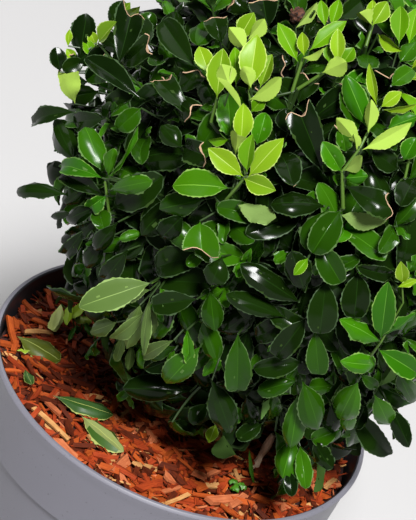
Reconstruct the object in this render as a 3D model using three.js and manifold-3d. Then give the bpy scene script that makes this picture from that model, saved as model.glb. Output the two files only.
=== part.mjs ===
import * as THREE from 'three';
import { mergeVertices } from 'three/addons/utils/BufferGeometryUtils.js';
import Module from 'manifold-3d';

// A clipped ball of Japanese spindle in a round nursery pot.
// Millimetres, +Z up, origin in the middle of the pot's flat underside.

const wasm = await Module();
wasm.setup();

// Pot
const POT_HEIGHT = 240;
const RIM_RADIUS = 150;
const BASE_RADIUS = 112;
const WALL = 2.8;
const FLOOR = 4;
const FOOT_EDGE = 3;
const COLLAR_HEIGHT = 58;
const COLLAR_TAPER = 3.5;
const COLLAR_STEP = 2.6;
const LIP_WIDTH = 2;
const LIP_HEIGHT = 7;
const POT_SIDES = 40;
const DRAIN_COUNT = 8;
const DRAIN_RADIUS = 7;
const DRAIN_CIRCLE = 86;

// Filling
const GAP = 0.3;
const SOIL_TOP = 211;
const MULCH_TOP = 223;
const MULCH_HOLE_RADIUS = 24;
const CHIP_COUNT = 26;
const CHIP_LENGTH = 26;
const CHIP_WIDTH = 8;
const CHIP_THICKNESS = 4;

// Trunk, boughs and the second stem that comes up beside the trunk
const TRUNK_TOP = 300;
const TRUNK_RADIUS = 9.5;
const FLARE_RADIUS = 19;
const FLARE_LENGTH = 0.16;
const FLARE_LOBES = 5;
const FLARE_LOBE_DEPTH = 0.14;
const TRUNK_TAPER = 0.08;
const TRUNK_LEAN = 9;
const BOUGH_COUNT = 4;
const BOUGH_LOW_FORK = 264;
const BOUGH_HIGH_FORK = 282;
const BOUGH_ROOT_RADIUS = 5.6;
const BOUGH_TIP_RADIUS = 3.4;
const BOUGH_REACH = 72;
const BOUGH_TIP_HEIGHT = 405;
const LEADER_ROOT_RADIUS = 7.6;
const LEADER_TIP_RADIUS = 3.6;
const LEADER_TOP = 514;
const SIDE_STEM_FOOT = new THREE.Vector3(75, -38, SOIL_TOP + GAP);
const SIDE_STEM_TIP = new THREE.Vector3(77, -36, 257);
const SIDE_STEM_RADIUS = 3.3;

// Crown: a clipped ball whose lower side comes down to the mulch
const CROWN_CENTRE = new THREE.Vector3(14, 0, 428);
const CROWN_RADIUS = 184;
const CAP_ELEVATION = 46;
const LOWEST_LEAF = 232;
const SKIRT_LEAST = 0.13;
const SKIRT_MOST = 0.24;
const SKIRT_SIDE = -20;
const SKIRT_STARTS = 30;
const SKIRT_FULL = 62;
const HANGS_BELOW = -15;
const SITE_COUNT = 102;
const SITE_JITTER = 7;
const LOWEST_SITE = -72;
const UNEVENNESS = 0.05;
const SITE_MARGIN = 16;
const SEED = 20264;

// Vigorous new shoots that stand proud of the clipped surface: azimuth, elevation, extra reach
const NEW_SHOOTS = [
  [-119, 44, 12],
  [-106, 31, 6],
  [-104, 58, 8],
  [-79, 47, 10],
  [-72, 70, 8],
  [-62, 20, 8],
  [-130, 13, 4],
  [-168, 24, 8],
  [35, 40, 8],
  [110, 30, 10],
  [70, 66, 6],
];

// Twigs and leaves
const STEM_LENGTH = 34;
const STEM_RADIUS = 3.2;
const SHOOTS_PER_FORK = 5;
const FORK_PLACE = 0.55;
const FORK_RADIUS = 2.6;
const TWIG_RADIUS = 1.9;
const TWIG_TIP_RADIUS = 1.1;
const SHOOT_LENGTH = 24;
const SHOOT_RISE = 0.25;
const LEAF_LENGTH = 58;
const LEAF_WIDTH = 33;
const LEAF_THICKNESS = 1.8;
const LEAF_FOLD = 4;
const LEAF_DROOP = 5;
const LEAF_SINK = 1.2;
// Each pair of leaves on a shoot: distance back from its tip, lean away from its axis in degrees
const LEAF_PAIRS = [[1.5, 22], [9, 50], [18, 78]];
// How a leaf that has no room is tried again: part of its lean, part of its length, turn in degrees
const LEAF_TRIES = [
  [1, 1, 0],
  [0.85, 1, 14],
  [0.85, 1, -14],
  [0.65, 0.9, 0],
  [0.45, 0.85, 20],
  [0.3, 0.8, 0],
];
const CORE_SIDES = 24;
const CORE_LUMP = 0.035;
const CELL_GAP = 0.2;

const COLOURS = {
  pot: 0x85828a,
  soil: 0x3a2a20,
  mulch: 0xb4512a,
  bark: 0x7b6a52,
  foliage: 0x2c5a22,
  foliageTop: 0x4d8a24,
};

const UP = new THREE.Vector3(0, 0, 1);
const GOLDEN_ANGLE = Math.PI * (3 - Math.sqrt(5));
const radians = THREE.MathUtils.degToRad;

// A generator of random numbers from 0 to 1 that always gives the same run
function seededRandom(seed) {
  let state = seed >>> 0;
  return () => {
    state = (state + 0x6d2b79f5) >>> 0;
    let mixed = Math.imul(state ^ (state >>> 15), 1 | state);
    mixed = (mixed + Math.imul(mixed ^ (mixed >>> 7), 61 | mixed)) ^ mixed;
    return ((mixed ^ (mixed >>> 14)) >>> 0) / 4294967296;
  };
}

// Solids
function solidFrom(geometry) {
  const bare = geometry.clone();
  bare.deleteAttribute('normal');
  bare.deleteAttribute('uv');
  const merged = mergeVertices(bare, 1e-4);
  const vertProperties = new Float32Array(merged.attributes.position.array);
  const triVerts = new Uint32Array(merged.index.array);
  return new wasm.Manifold(new wasm.Mesh({ numProp: 3, vertProperties, triVerts }));
}

function joined(solids) {
  let row = solids;
  while (row.length > 1) {
    const next = [];
    for (let index = 0; index < row.length; index += 2) {
      const pair = row[index + 1];
      next.push(pair ? row[index].add(pair) : row[index]);
    }
    row = next;
  }
  return row[0];
}

// The outermost shell of a solid: loose scraps and sealed hollows are left out
function mainShell(mesh) {
  const corners = mesh.triVerts;
  const points = mesh.vertProperties;
  const parent = Array.from({ length: points.length / 3 }, (_, index) => index);
  const find = (index) => {
    let root = index;
    while (parent[root] !== root) {
      parent[root] = parent[parent[root]];
      root = parent[root];
    }
    return root;
  };
  for (let corner = 0; corner < corners.length; corner += 3) {
    parent[find(corners[corner + 1])] = find(corners[corner]);
    parent[find(corners[corner + 2])] = find(corners[corner]);
  }
  const volumes = new Map();
  const a = new THREE.Vector3();
  const b = new THREE.Vector3();
  const c = new THREE.Vector3();
  for (let corner = 0; corner < corners.length; corner += 3) {
    a.fromArray(points, corners[corner] * 3);
    b.fromArray(points, corners[corner + 1] * 3);
    c.fromArray(points, corners[corner + 2] * 3);
    const shell = find(corners[corner]);
    volumes.set(shell, (volumes.get(shell) ?? 0) + a.dot(b.cross(c)) / 6);
  }
  const largest = [...volumes.entries()].reduce((best, entry) => (entry[1] > best[1] ? entry : best))[0];
  const kept = [];
  for (let corner = 0; corner < corners.length; corner += 3) {
    if (find(corners[corner]) === largest) {
      kept.push(corners[corner], corners[corner + 1], corners[corner + 2]);
    }
  }
  return kept;
}

function geometryFrom(solid) {
  const mesh = solid.getMesh();
  const geometry = new THREE.BufferGeometry();
  geometry.setAttribute('position', new THREE.BufferAttribute(new Float32Array(mesh.vertProperties), 3));
  geometry.setIndex(mainShell(mesh));
  geometry.computeVertexNormals();
  return geometry;
}

function lathe(profile, sides) {
  const points = profile.map(([radius, height]) => new THREE.Vector2(radius, height));
  return new THREE.LatheGeometry(points, sides).rotateX(Math.PI / 2);
}

const group = new THREE.Group();
group.name = 'potted_japanese_spindle';

function addPart(name, solid, colour, roughness) {
  const material = new THREE.MeshStandardMaterial({ color: colour, roughness, metalness: 0 });
  const mesh = new THREE.Mesh(geometryFrom(solid), material);
  mesh.name = name;
  group.add(mesh);
}

// A round limb that tapers along a curve; grow makes the cutter that keeps its neighbours clear
function limb(curve, radiusAt, sides, steps, grow = 0) {
  const geometry = new THREE.CylinderGeometry(1, 1, 1, sides, steps);
  const frames = curve.computeFrenetFrames(steps, false);
  const place = geometry.attributes.position;
  const point = new THREE.Vector3();
  for (let index = 0; index < place.count; index += 1) {
    const along = place.getY(index) + 0.5;
    const step = Math.round(along * steps);
    const angle = Math.atan2(place.getZ(index), place.getX(index));
    const off = Math.hypot(place.getX(index), place.getZ(index));
    const radius = off * (radiusAt(along, angle) + grow);
    point.copy(curve.getPoint(step / steps));
    point.addScaledVector(frames.normals[step], Math.cos(angle) * radius);
    point.addScaledVector(frames.binormals[step], -Math.sin(angle) * radius);
    place.setXYZ(index, point.x, point.y, point.z);
  }
  return solidFrom(geometry);
}

function taper(rootRadius, tipRadius) {
  return (along) => THREE.MathUtils.lerp(rootRadius, tipRadius, along);
}

// Pot: radius of its outside at a height, without the collar's own step and lip
function wallRadius(height) {
  const collarFoot = POT_HEIGHT - COLLAR_HEIGHT;
  const collarRadius = RIM_RADIUS - LIP_WIDTH - COLLAR_TAPER - COLLAR_STEP;
  if (height < collarFoot) {
    return THREE.MathUtils.mapLinear(height, 0, collarFoot, BASE_RADIUS, collarRadius);
  }
  return RIM_RADIUS - LIP_WIDTH - COLLAR_TAPER * (POT_HEIGHT - height) / COLLAR_HEIGHT;
}

function pot() {
  const collarFoot = POT_HEIGHT - COLLAR_HEIGHT;
  const lipFoot = POT_HEIGHT - LIP_HEIGHT;
  const ease = 1.2;
  const profile = [
    [0, 0],
    [BASE_RADIUS - FOOT_EDGE, 0],
    [wallRadius(FOOT_EDGE), FOOT_EDGE],
    [wallRadius(collarFoot - COLLAR_STEP), collarFoot - COLLAR_STEP],
    [wallRadius(collarFoot), collarFoot],
    [wallRadius(lipFoot - LIP_WIDTH), lipFoot - LIP_WIDTH],
    [RIM_RADIUS, lipFoot],
    [RIM_RADIUS, POT_HEIGHT - ease],
    [RIM_RADIUS - ease, POT_HEIGHT],
    [wallRadius(POT_HEIGHT) - WALL + ease, POT_HEIGHT],
    [wallRadius(POT_HEIGHT) - WALL, POT_HEIGHT - ease],
    [wallRadius(collarFoot) - WALL, collarFoot],
    [wallRadius(collarFoot - COLLAR_STEP) - WALL, collarFoot - COLLAR_STEP],
    [wallRadius(FLOOR) - WALL, FLOOR],
    [0, FLOOR],
  ];
  let solid = solidFrom(lathe(profile, POT_SIDES));
  for (let hole = 0; hole < DRAIN_COUNT; hole += 1) {
    const angle = (hole + 0.5) * 2 * Math.PI / DRAIN_COUNT;
    const drill = new THREE.CylinderGeometry(DRAIN_RADIUS, DRAIN_RADIUS, FLOOR * 4, 12);
    drill.rotateX(Math.PI / 2);
    drill.translate(DRAIN_CIRCLE * Math.cos(angle), DRAIN_CIRCLE * Math.sin(angle), 0);
    solid = solid.subtract(solidFrom(drill));
  }
  return solid;
}

// Inside of the pot at a height, less the clearance that the filling keeps
function fillRadius(height) {
  return wallRadius(height) - WALL - GAP;
}

function soil() {
  const collarFoot = POT_HEIGHT - COLLAR_HEIGHT;
  const bottom = FLOOR + GAP;
  return solidFrom(lathe([
    [0, bottom],
    [fillRadius(bottom), bottom],
    [fillRadius(collarFoot - COLLAR_STEP), collarFoot - COLLAR_STEP],
    [fillRadius(collarFoot) - 2 * GAP, collarFoot + GAP],
    [fillRadius(SOIL_TOP) - 2 * GAP, SOIL_TOP],
    [0, SOIL_TOP],
  ], POT_SIDES));
}

// A layer of wood chips: a low uneven bed with long chips lying in it
function mulch() {
  const random = seededRandom(SEED + 1);
  const bottom = SOIL_TOP + GAP;
  const bed = lathe([
    [MULCH_HOLE_RADIUS, bottom],
    [fillRadius(bottom), bottom],
    [fillRadius(MULCH_TOP), MULCH_TOP],
    [fillRadius(MULCH_TOP) - CHIP_LENGTH, MULCH_TOP - 2],
    [fillRadius(MULCH_TOP) / 2, MULCH_TOP + 1],
    [MULCH_HOLE_RADIUS, MULCH_TOP],
    [MULCH_HOLE_RADIUS, bottom],
  ], POT_SIDES);
  const pieces = [solidFrom(bed)];
  for (let chip = 0; chip < CHIP_COUNT; chip += 1) {
    const spread = Math.sqrt((chip + 0.5) / CHIP_COUNT);
    const inner = MULCH_HOLE_RADIUS + CHIP_LENGTH * 0.6;
    const outer = fillRadius(MULCH_TOP) - CHIP_LENGTH * 0.6;
    const radius = THREE.MathUtils.lerp(inner, outer, spread);
    const angle = chip * GOLDEN_ANGLE;
    const box = new THREE.BoxGeometry(
      CHIP_LENGTH * (0.7 + 0.3 * random()),
      CHIP_WIDTH * (0.6 + 0.4 * random()),
      CHIP_THICKNESS,
    );
    box.rotateY((random() - 0.5) * 0.3);
    box.rotateZ(random() * Math.PI);
    box.translate(radius * Math.cos(angle), radius * Math.sin(angle), MULCH_TOP + 1);
    pieces.push(solidFrom(box));
  }
  return joined(pieces);
}

// Trunk, boughs and second stem
const trunkCurve = new THREE.CatmullRomCurve3([
  new THREE.Vector3(0, 0, SOIL_TOP + GAP),
  new THREE.Vector3(0, 0, SOIL_TOP + 24),
  new THREE.Vector3(TRUNK_LEAN / 2, 1, (SOIL_TOP + TRUNK_TOP) / 2 + 12),
  new THREE.Vector3(TRUNK_LEAN, 0, TRUNK_TOP),
]);

function trunkRadius(along, angle) {
  const flare = Math.exp(-along / FLARE_LENGTH);
  const lobes = 1 + FLARE_LOBE_DEPTH * flare * Math.cos(FLARE_LOBES * angle);
  return TRUNK_RADIUS * (1 - TRUNK_TAPER * along) + (FLARE_RADIUS - TRUNK_RADIUS) * flare * lobes;
}

function trunk(grow) {
  return limb(trunkCurve, trunkRadius, 15, 9, grow);
}

const trunkTop = trunkCurve.getPoint(1);
const leaderCurve = new THREE.CatmullRomCurve3([
  trunkTop.clone().addScaledVector(trunkCurve.getTangent(1), GAP),
  trunkTop.clone().addScaledVector(trunkCurve.getTangent(1), 40),
  new THREE.Vector3(CROWN_CENTRE.x + 3, 2, (TRUNK_TOP + LEADER_TOP) / 2),
  new THREE.Vector3(CROWN_CENTRE.x, 0, LEADER_TOP - 30),
  new THREE.Vector3(CROWN_CENTRE.x, 0, LEADER_TOP),
]);

// The middle of each side mass, as an azimuth about the crown's upright axis
function sectorAzimuth(sector) {
  return 2 * Math.PI * sector / BOUGH_COUNT;
}

function boughCurve(sector) {
  const fork = sector % 2 ? BOUGH_HIGH_FORK : BOUGH_LOW_FORK;
  const along = (fork - SOIL_TOP) / (TRUNK_TOP - SOIL_TOP);
  const root = trunkCurve.getPoint(along);
  const out = new THREE.Vector3(Math.cos(sectorAzimuth(sector)), Math.sin(sectorAzimuth(sector)), 0);
  const tip = new THREE.Vector3(CROWN_CENTRE.x, CROWN_CENTRE.y, BOUGH_TIP_HEIGHT);
  tip.addScaledVector(out, BOUGH_REACH);
  const bend = root.clone().lerp(tip, 0.4).addScaledVector(out, 10);
  const turn = tip.clone().addScaledVector(out, -22).addScaledVector(UP, -14);
  return new THREE.CatmullRomCurve3([root, bend, turn, tip]);
}

const boughs = [];
for (let sector = 0; sector < BOUGH_COUNT; sector += 1) {
  boughs.push(boughCurve(sector));
}

const sideStemCurve = new THREE.CatmullRomCurve3([
  SIDE_STEM_FOOT,
  SIDE_STEM_FOOT.clone().addScaledVector(UP, 14),
  SIDE_STEM_TIP,
]);

function sideStem(grow) {
  return limb(sideStemCurve, taper(SIDE_STEM_RADIUS, SIDE_STEM_RADIUS * 0.8), 8, 4, grow);
}

// Crown: how far from its centre the leaves reach in one direction
function crownReach(azimuth, elevation) {
  const low = THREE.MathUtils.smoothstep(-elevation, radians(SKIRT_STARTS), radians(SKIRT_FULL));
  const side = 0.5 + 0.5 * Math.cos(azimuth - radians(SKIRT_SIDE));
  const reach = CROWN_RADIUS * (1 + low * THREE.MathUtils.lerp(SKIRT_LEAST, SKIRT_MOST, side));
  const toMulch = (CROWN_CENTRE.z - LOWEST_LEAF - 4) / Math.max(Math.sin(-elevation), 0.01);
  return Math.min(reach, toMulch);
}

function direction(azimuth, elevation) {
  return new THREE.Vector3(
    Math.cos(elevation) * Math.cos(azimuth),
    Math.cos(elevation) * Math.sin(azimuth),
    Math.sin(elevation),
  );
}

// Where the shoots end: an even spiral over the ball, shaken a little, with the new shoots moved in
function shootSites() {
  const random = seededRandom(SEED);
  const sites = [];
  for (let index = 0; index < SITE_COUNT; index += 1) {
    const shake = radians(SITE_JITTER);
    const elevation = Math.asin(1 - (2 * index + 1) / SITE_COUNT) + (random() - 0.5) * shake;
    const azimuth = index * GOLDEN_ANGLE + (random() - 0.5) * shake / Math.cos(elevation);
    const shrink = 1 - random() * UNEVENNESS;
    if (elevation > radians(LOWEST_SITE)) {
      sites.push({ azimuth, elevation, reach: crownReach(azimuth, elevation) * shrink });
    }
  }
  for (const [azimuth, elevation, extra] of NEW_SHOOTS) {
    const aim = direction(radians(azimuth), radians(elevation));
    const nearness = (site) => direction(site.azimuth, site.elevation).dot(aim);
    const nearest = sites.reduce((best, site) => (nearness(site) > nearness(best) ? site : best));
    nearest.azimuth = radians(azimuth);
    nearest.elevation = radians(elevation);
    nearest.reach = crownReach(nearest.azimuth, nearest.elevation) + extra;
  }
  return sites;
}

// The tilted plane between a side mass and the top mass, as its upward normal
function capNormal(sector) {
  const out = direction(sectorAzimuth(sector), 0);
  const slope = radians(CAP_ELEVATION);
  return out.multiplyScalar(-Math.sin(slope)).addScaledVector(UP, Math.cos(slope));
}

function sectorOf(azimuth) {
  const turns = Math.round(azimuth * BOUGH_COUNT / (2 * Math.PI));
  return ((turns % BOUGH_COUNT) + BOUGH_COUNT) % BOUGH_COUNT;
}

// Shares the sites among the masses, each drawn in from the edges of the space it falls in
function sharedSites() {
  const shares = Array.from({ length: BOUGH_COUNT + 1 }, () => []);
  const margin = SITE_MARGIN / CROWN_RADIUS;
  for (const site of shootSites()) {
    const sector = sectorOf(site.azimuth);
    const middle = sectorAzimuth(sector);
    const aside = Math.atan2(Math.sin(site.azimuth - middle), Math.cos(site.azimuth - middle));
    const edge = Math.atan(Math.tan(radians(CAP_ELEVATION)) * Math.cos(aside));
    if (site.elevation > edge) {
      site.elevation = Math.max(site.elevation, edge + margin);
      shares[BOUGH_COUNT].push(site);
      continue;
    }
    const room = Math.PI / BOUGH_COUNT - margin / Math.cos(site.elevation);
    site.elevation = Math.min(site.elevation, edge - margin);
    site.azimuth = middle + THREE.MathUtils.clamp(aside, -room, room);
    shares[sector].push(site);
  }
  return shares;
}

// The space that one mass keeps to
function sideSpace(sector) {
  const edges = [-1, 1].map((side) => {
    const azimuth = sectorAzimuth(sector) + side * Math.PI / BOUGH_COUNT;
    return new THREE.Vector3(side * Math.sin(azimuth), -side * Math.cos(azimuth), 0);
  });
  edges.push(capNormal(sector).negate());
  return (point) => {
    const off = point.clone().sub(CROWN_CENTRE);
    return edges.every((edge) => off.dot(edge) > CELL_GAP)
      && point.z > LOWEST_LEAF
      && Math.hypot(off.x, off.y) > hollowRadius(point.z) + CELL_GAP
      && sideStemDistance(point) > SIDE_STEM_RADIUS + 1;
  };
}

function topSpace(point) {
  const off = point.clone().sub(CROWN_CENTRE);
  return boughs.every((_, sector) => capNormal(sector).dot(off) > CELL_GAP);
}

function sideStemDistance(point) {
  const line = new THREE.Line3(SIDE_STEM_FOOT, SIDE_STEM_TIP);
  return line.closestPointToPoint(point, true, new THREE.Vector3()).distanceTo(point);
}

// The leafless middle of the crown, which the trunk and boughs run up through, as radius and height
const HOLLOW = [
  [40, LOWEST_LEAF],
  [44, 300],
  [60, 350],
  [74, 400],
  [76, 440],
  [66, 480],
  [40, 508],
  [0, LEADER_TOP + 5],
];

function hollowRadius(height) {
  for (let index = 1; index < HOLLOW.length; index += 1) {
    const [lowRadius, low] = HOLLOW[index - 1];
    const [highRadius, high] = HOLLOW[index];
    if (height <= high) {
      return THREE.MathUtils.mapLinear(Math.max(height, low), low, high, lowRadius, highRadius);
    }
  }
  return 0;
}

// The dense twiggy core that the leaves stand out of, as radius and height
const CORE = [
  [44, 250],
  [60, 252],
  [88, 286],
  [116, 345],
  [128, 400],
  [130, 440],
  [120, 490],
  [97, 526],
  [58, 551],
  [0, 561],
];

function coreSolid() {
  const profile = [[0, CORE[0][1]], ...CORE];
  const geometry = lathe(profile, CORE_SIDES);
  const place = geometry.attributes.position;
  for (let index = 0; index < place.count; index += 1) {
    const azimuth = Math.atan2(place.getY(index), place.getX(index));
    const lump = 1 + CORE_LUMP * Math.sin(5 * azimuth + place.getZ(index) / 30);
    place.setX(index, place.getX(index) * lump);
    place.setY(index, place.getY(index) * lump);
  }
  geometry.translate(CROWN_CENTRE.x, CROWN_CENTRE.y, 0);
  return solidFrom(geometry);
}

function hollowSolid() {
  const foot = LOWEST_LEAF - 2;
  const geometry = lathe([[0, foot], [HOLLOW[0][0], foot], ...HOLLOW], CORE_SIDES);
  geometry.translate(CROWN_CENTRE.x, CROWN_CENTRE.y, 0);
  return solidFrom(geometry);
}

// A wedge of space round the crown's axis
function wedgeSolid(sector) {
  const reach = CROWN_RADIUS * 2;
  const apex = CELL_GAP / Math.sin(Math.PI / BOUGH_COUNT);
  const shape = new THREE.Shape();
  shape.moveTo(apex, 0);
  shape.lineTo(reach + apex, -reach * Math.tan(Math.PI / BOUGH_COUNT));
  shape.lineTo(reach + apex, reach * Math.tan(Math.PI / BOUGH_COUNT));
  shape.closePath();
  const geometry = new THREE.ExtrudeGeometry(shape, { depth: 4 * CROWN_RADIUS, bevelEnabled: false });
  geometry.rotateZ(sectorAzimuth(sector));
  geometry.translate(CROWN_CENTRE.x, CROWN_CENTRE.y, 0);
  return solidFrom(geometry);
}

// The upturned pyramid of space that the top mass fills, one side to each side mass below it
function pyramidSolid(lift) {
  const height = 2 * CROWN_RADIUS;
  const slope = radians(CAP_ELEVATION);
  const corner = height / Math.tan(slope) / Math.cos(Math.PI / BOUGH_COUNT);
  const geometry = new THREE.ConeGeometry(corner, height, BOUGH_COUNT);
  geometry.rotateX(-Math.PI / 2);
  geometry.rotateZ(Math.PI / BOUGH_COUNT - Math.PI / 2);
  geometry.translate(CROWN_CENTRE.x, CROWN_CENTRE.y, CROWN_CENTRE.z + height / 2 + lift);
  return solidFrom(geometry);
}

// A leaf blade of eight faces: pointed ends, folded up along its midrib, with a drooping tip
function leafGeometry(length) {
  const blade = new THREE.OctahedronGeometry(1, 0);
  const place = blade.attributes.position;
  for (let index = 0; index < place.count; index += 1) {
    const along = place.getX(index);
    const across = place.getY(index);
    const fold = LEAF_FOLD * Math.abs(across) - (along > 0.5 ? LEAF_DROOP : 0);
    place.setXYZ(
      index,
      (along + 1) * 0.5 * length,
      across * LEAF_WIDTH * 0.5 * length / LEAF_LENGTH,
      place.getZ(index) * LEAF_THICKNESS * 0.5 + fold,
    );
  }
  return blade;
}

function leafAt(root, along, face, length) {
  const side = new THREE.Vector3().crossVectors(face, along).normalize();
  const normal = new THREE.Vector3().crossVectors(along, side);
  const frame = new THREE.Matrix4().makeBasis(along, side, normal);
  frame.setPosition(root.clone().addScaledVector(along, -LEAF_SINK));
  return leafGeometry(length).applyMatrix4(frame);
}

function staysIn(geometry, inSpace) {
  const place = geometry.attributes.position;
  const point = new THREE.Vector3();
  for (let index = 0; index < place.count; index += 1) {
    if (!inSpace(point.fromBufferAttribute(place, index))) {
      return false;
    }
  }
  return true;
}

// A straight twig with three sides, sunk a little into what it grows from
function twig(from, to, fromRadius, toRadius) {
  const along = new THREE.Vector3().subVectors(to, from);
  const length = along.length();
  const geometry = new THREE.CylinderGeometry(toRadius, fromRadius, length, 3);
  geometry.translate(0, length / 2, 0);
  const turn = new THREE.Quaternion().setFromUnitVectors(new THREE.Vector3(0, 1, 0), along.normalize());
  geometry.applyQuaternion(turn);
  geometry.translate(from.x, from.y, from.z);
  return geometry;
}

function crosses(leaf, others) {
  const near = others.filter((other) => leaf.box.intersectsBox(other.box));
  return near.some((other) => !leaf.solid.intersect(other.solid).isEmpty());
}

// A direction that leans by an angle from one axis towards another
function leaned(axis, towards, angle) {
  return axis.clone().multiplyScalar(Math.cos(angle)).addScaledVector(towards, Math.sin(angle)).normalize();
}

// The leaves of one shoot, in crossed pairs back from its tip. A leaf that would leave the mass's
// space or cut through another shoot's leaf is tried again closer to the shoot, then skipped.
function shootLeaves(end, inSpace, others) {
  const leaves = [];
  const flat = new THREE.Vector3().crossVectors(end.axis, UP).normalize();
  LEAF_PAIRS.forEach(([back, lean], pair) => {
    for (const side of [0, 1]) {
      const spin = end.turn + pair * Math.PI / 2 + side * Math.PI;
      const root = end.tip.clone().addScaledVector(end.axis, -back);
      for (const [ease, size, shift] of LEAF_TRIES) {
        const away = flat.clone().applyAxisAngle(end.axis, spin + radians(shift));
        const angle = radians(lean) * ease;
        const along = leaned(end.axis, away, angle);
        const face = leaned(end.axis, away, angle - Math.PI / 2);
        const geometry = leafAt(root, along, face, LEAF_LENGTH * size);
        if (staysIn(geometry, inSpace)) {
          geometry.computeBoundingBox();
          const leaf = { solid: solidFrom(geometry), box: geometry.boundingBox };
          if (!crosses(leaf, others)) {
            leaves.push(leaf);
            break;
          }
        }
      }
    }
  });
  return leaves;
}

// Where a shoot runs: it turns up towards the light, or hangs low down, where its space has room
function shootEnd(site, inSpace, turn) {
  const out = direction(site.azimuth, site.elevation);
  const wanted = site.elevation > radians(HANGS_BELOW) ? SHOOT_RISE : -SHOOT_RISE * 0.6;
  const ends = [wanted, 0, -wanted].map((rise) => {
    const axis = out.clone().addScaledVector(UP, rise).normalize();
    const tip = CROWN_CENTRE.clone().addScaledVector(out, site.reach);
    tip.addScaledVector(axis, -LEAF_LENGTH * Math.cos(radians(LEAF_PAIRS[0][1])));
    return { axis, tip, neck: tip.clone().addScaledVector(axis, -SHOOT_LENGTH), turn };
  });
  const clear = (point) => inSpace(point.clone().addScaledVector(out, -TWIG_RADIUS));
  return ends.find((end) => clear(end.neck) && clear(end.tip)) ?? ends[1];
}

// One mass: a stem from its limb's tip, forks, shoots and leaves, round a piece of the core
function foliage(limbCurve, sites, inSpace, core, seed) {
  const random = seededRandom(seed);
  const start = limbCurve.getPoint(1);
  const along = limbCurve.getTangent(1);
  const foot = start.clone().addScaledVector(along, GAP);
  const heart = start.clone().addScaledVector(along, STEM_LENGTH);
  const leaves = [];
  const pieces = [core, solidFrom(twig(foot, heart, STEM_RADIUS, STEM_RADIUS * 0.9))];
  const ends = sites.map((site) => shootEnd(site, inSpace, random() * Math.PI));
  for (let first = 0; first < ends.length; first += SHOOTS_PER_FORK) {
    const few = ends.slice(first, first + SHOOTS_PER_FORK);
    const middle = few.reduce((sum, end) => sum.add(end.neck), new THREE.Vector3()).divideScalar(few.length);
    const fork = heart.clone().lerp(middle, FORK_PLACE);
    const before = heart.clone().sub(fork).setLength(2);
    pieces.push(solidFrom(twig(heart, fork.clone().sub(before), FORK_RADIUS, TWIG_RADIUS)));
    for (const end of few) {
      const lap = end.axis.clone().multiplyScalar(1.5);
      const reach = twig(fork, end.neck.clone().add(lap), TWIG_RADIUS, TWIG_RADIUS * 0.9);
      const shoot = twig(end.neck, end.tip, TWIG_RADIUS, TWIG_TIP_RADIUS);
      if (!staysIn(reach, inSpace) || !staysIn(shoot, inSpace)) {
        continue;
      }
      pieces.push(solidFrom(reach), solidFrom(shoot));
      leaves.push(...shootLeaves(end, inSpace, leaves));
    }
  }
  return joined([...pieces, ...leaves.map((leaf) => leaf.solid)]).simplify(0.02);
}

// The parts
addPart('pot', pot(), COLOURS.pot, 0.5);
addPart('soil', soil(), COLOURS.soil, 0.95);
addPart('mulch', mulch().subtract(sideStem(GAP)), COLOURS.mulch, 0.9);
addPart('trunk', trunk(0), COLOURS.bark, 0.85);
addPart('side_stem', sideStem(0), COLOURS.bark, 0.85);

const trunkCutter = trunk(GAP);
const boughTaper = taper(BOUGH_ROOT_RADIUS, BOUGH_TIP_RADIUS);
boughs.forEach((curve, sector) => {
  const bough = limb(curve, boughTaper, 6, 8).subtract(trunkCutter);
  addPart(`bough_${sector + 1}`, bough, COLOURS.bark, 0.85);
});
addPart('leader', limb(leaderCurve, taper(LEADER_ROOT_RADIUS, LEADER_TIP_RADIUS), 8, 7), COLOURS.bark, 0.85);

const shares = sharedSites();
const core = coreSolid().subtract(hollowSolid());
const pyramidBelow = pyramidSolid(-CELL_GAP / Math.cos(radians(CAP_ELEVATION)));
boughs.forEach((curve, sector) => {
  const piece = core.intersect(wedgeSolid(sector)).subtract(pyramidBelow);
  const mass = foliage(curve, shares[sector], sideSpace(sector), piece, SEED + 10 + sector);
  addPart(`foliage_side_${sector + 1}`, mass, COLOURS.foliage, 0.5);
});
const cap = core.intersect(pyramidSolid(CELL_GAP / Math.cos(radians(CAP_ELEVATION))));
const topMass = foliage(leaderCurve, shares[BOUGH_COUNT], topSpace, cap, SEED + 30);
addPart('foliage_top', topMass, COLOURS.foliageTop, 0.5);

export default group;
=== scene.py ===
import math
import random

import bpy
import numpy as np
from mathutils import Matrix, Vector, noise
from mathutils.bvhtree import BVHTree


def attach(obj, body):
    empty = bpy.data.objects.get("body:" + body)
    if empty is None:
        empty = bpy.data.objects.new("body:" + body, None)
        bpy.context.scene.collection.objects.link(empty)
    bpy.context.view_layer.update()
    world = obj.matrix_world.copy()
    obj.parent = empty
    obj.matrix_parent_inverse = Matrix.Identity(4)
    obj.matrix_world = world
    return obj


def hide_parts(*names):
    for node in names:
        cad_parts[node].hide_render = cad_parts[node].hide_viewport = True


# A clipped ball of Japanese spindle in a round nursery pot. Metres, +Z up, origin under the pot.
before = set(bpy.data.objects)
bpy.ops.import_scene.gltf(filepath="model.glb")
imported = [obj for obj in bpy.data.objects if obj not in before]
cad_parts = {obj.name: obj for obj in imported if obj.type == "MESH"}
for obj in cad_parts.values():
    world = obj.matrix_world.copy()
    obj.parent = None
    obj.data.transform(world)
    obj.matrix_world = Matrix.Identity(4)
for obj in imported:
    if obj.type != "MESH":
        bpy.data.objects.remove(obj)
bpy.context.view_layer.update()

MM = 0.001
UP = Vector((0, 0, 1))
GOLDEN_ANGLE = math.pi * (3 - math.sqrt(5))
rad = math.radians

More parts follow.
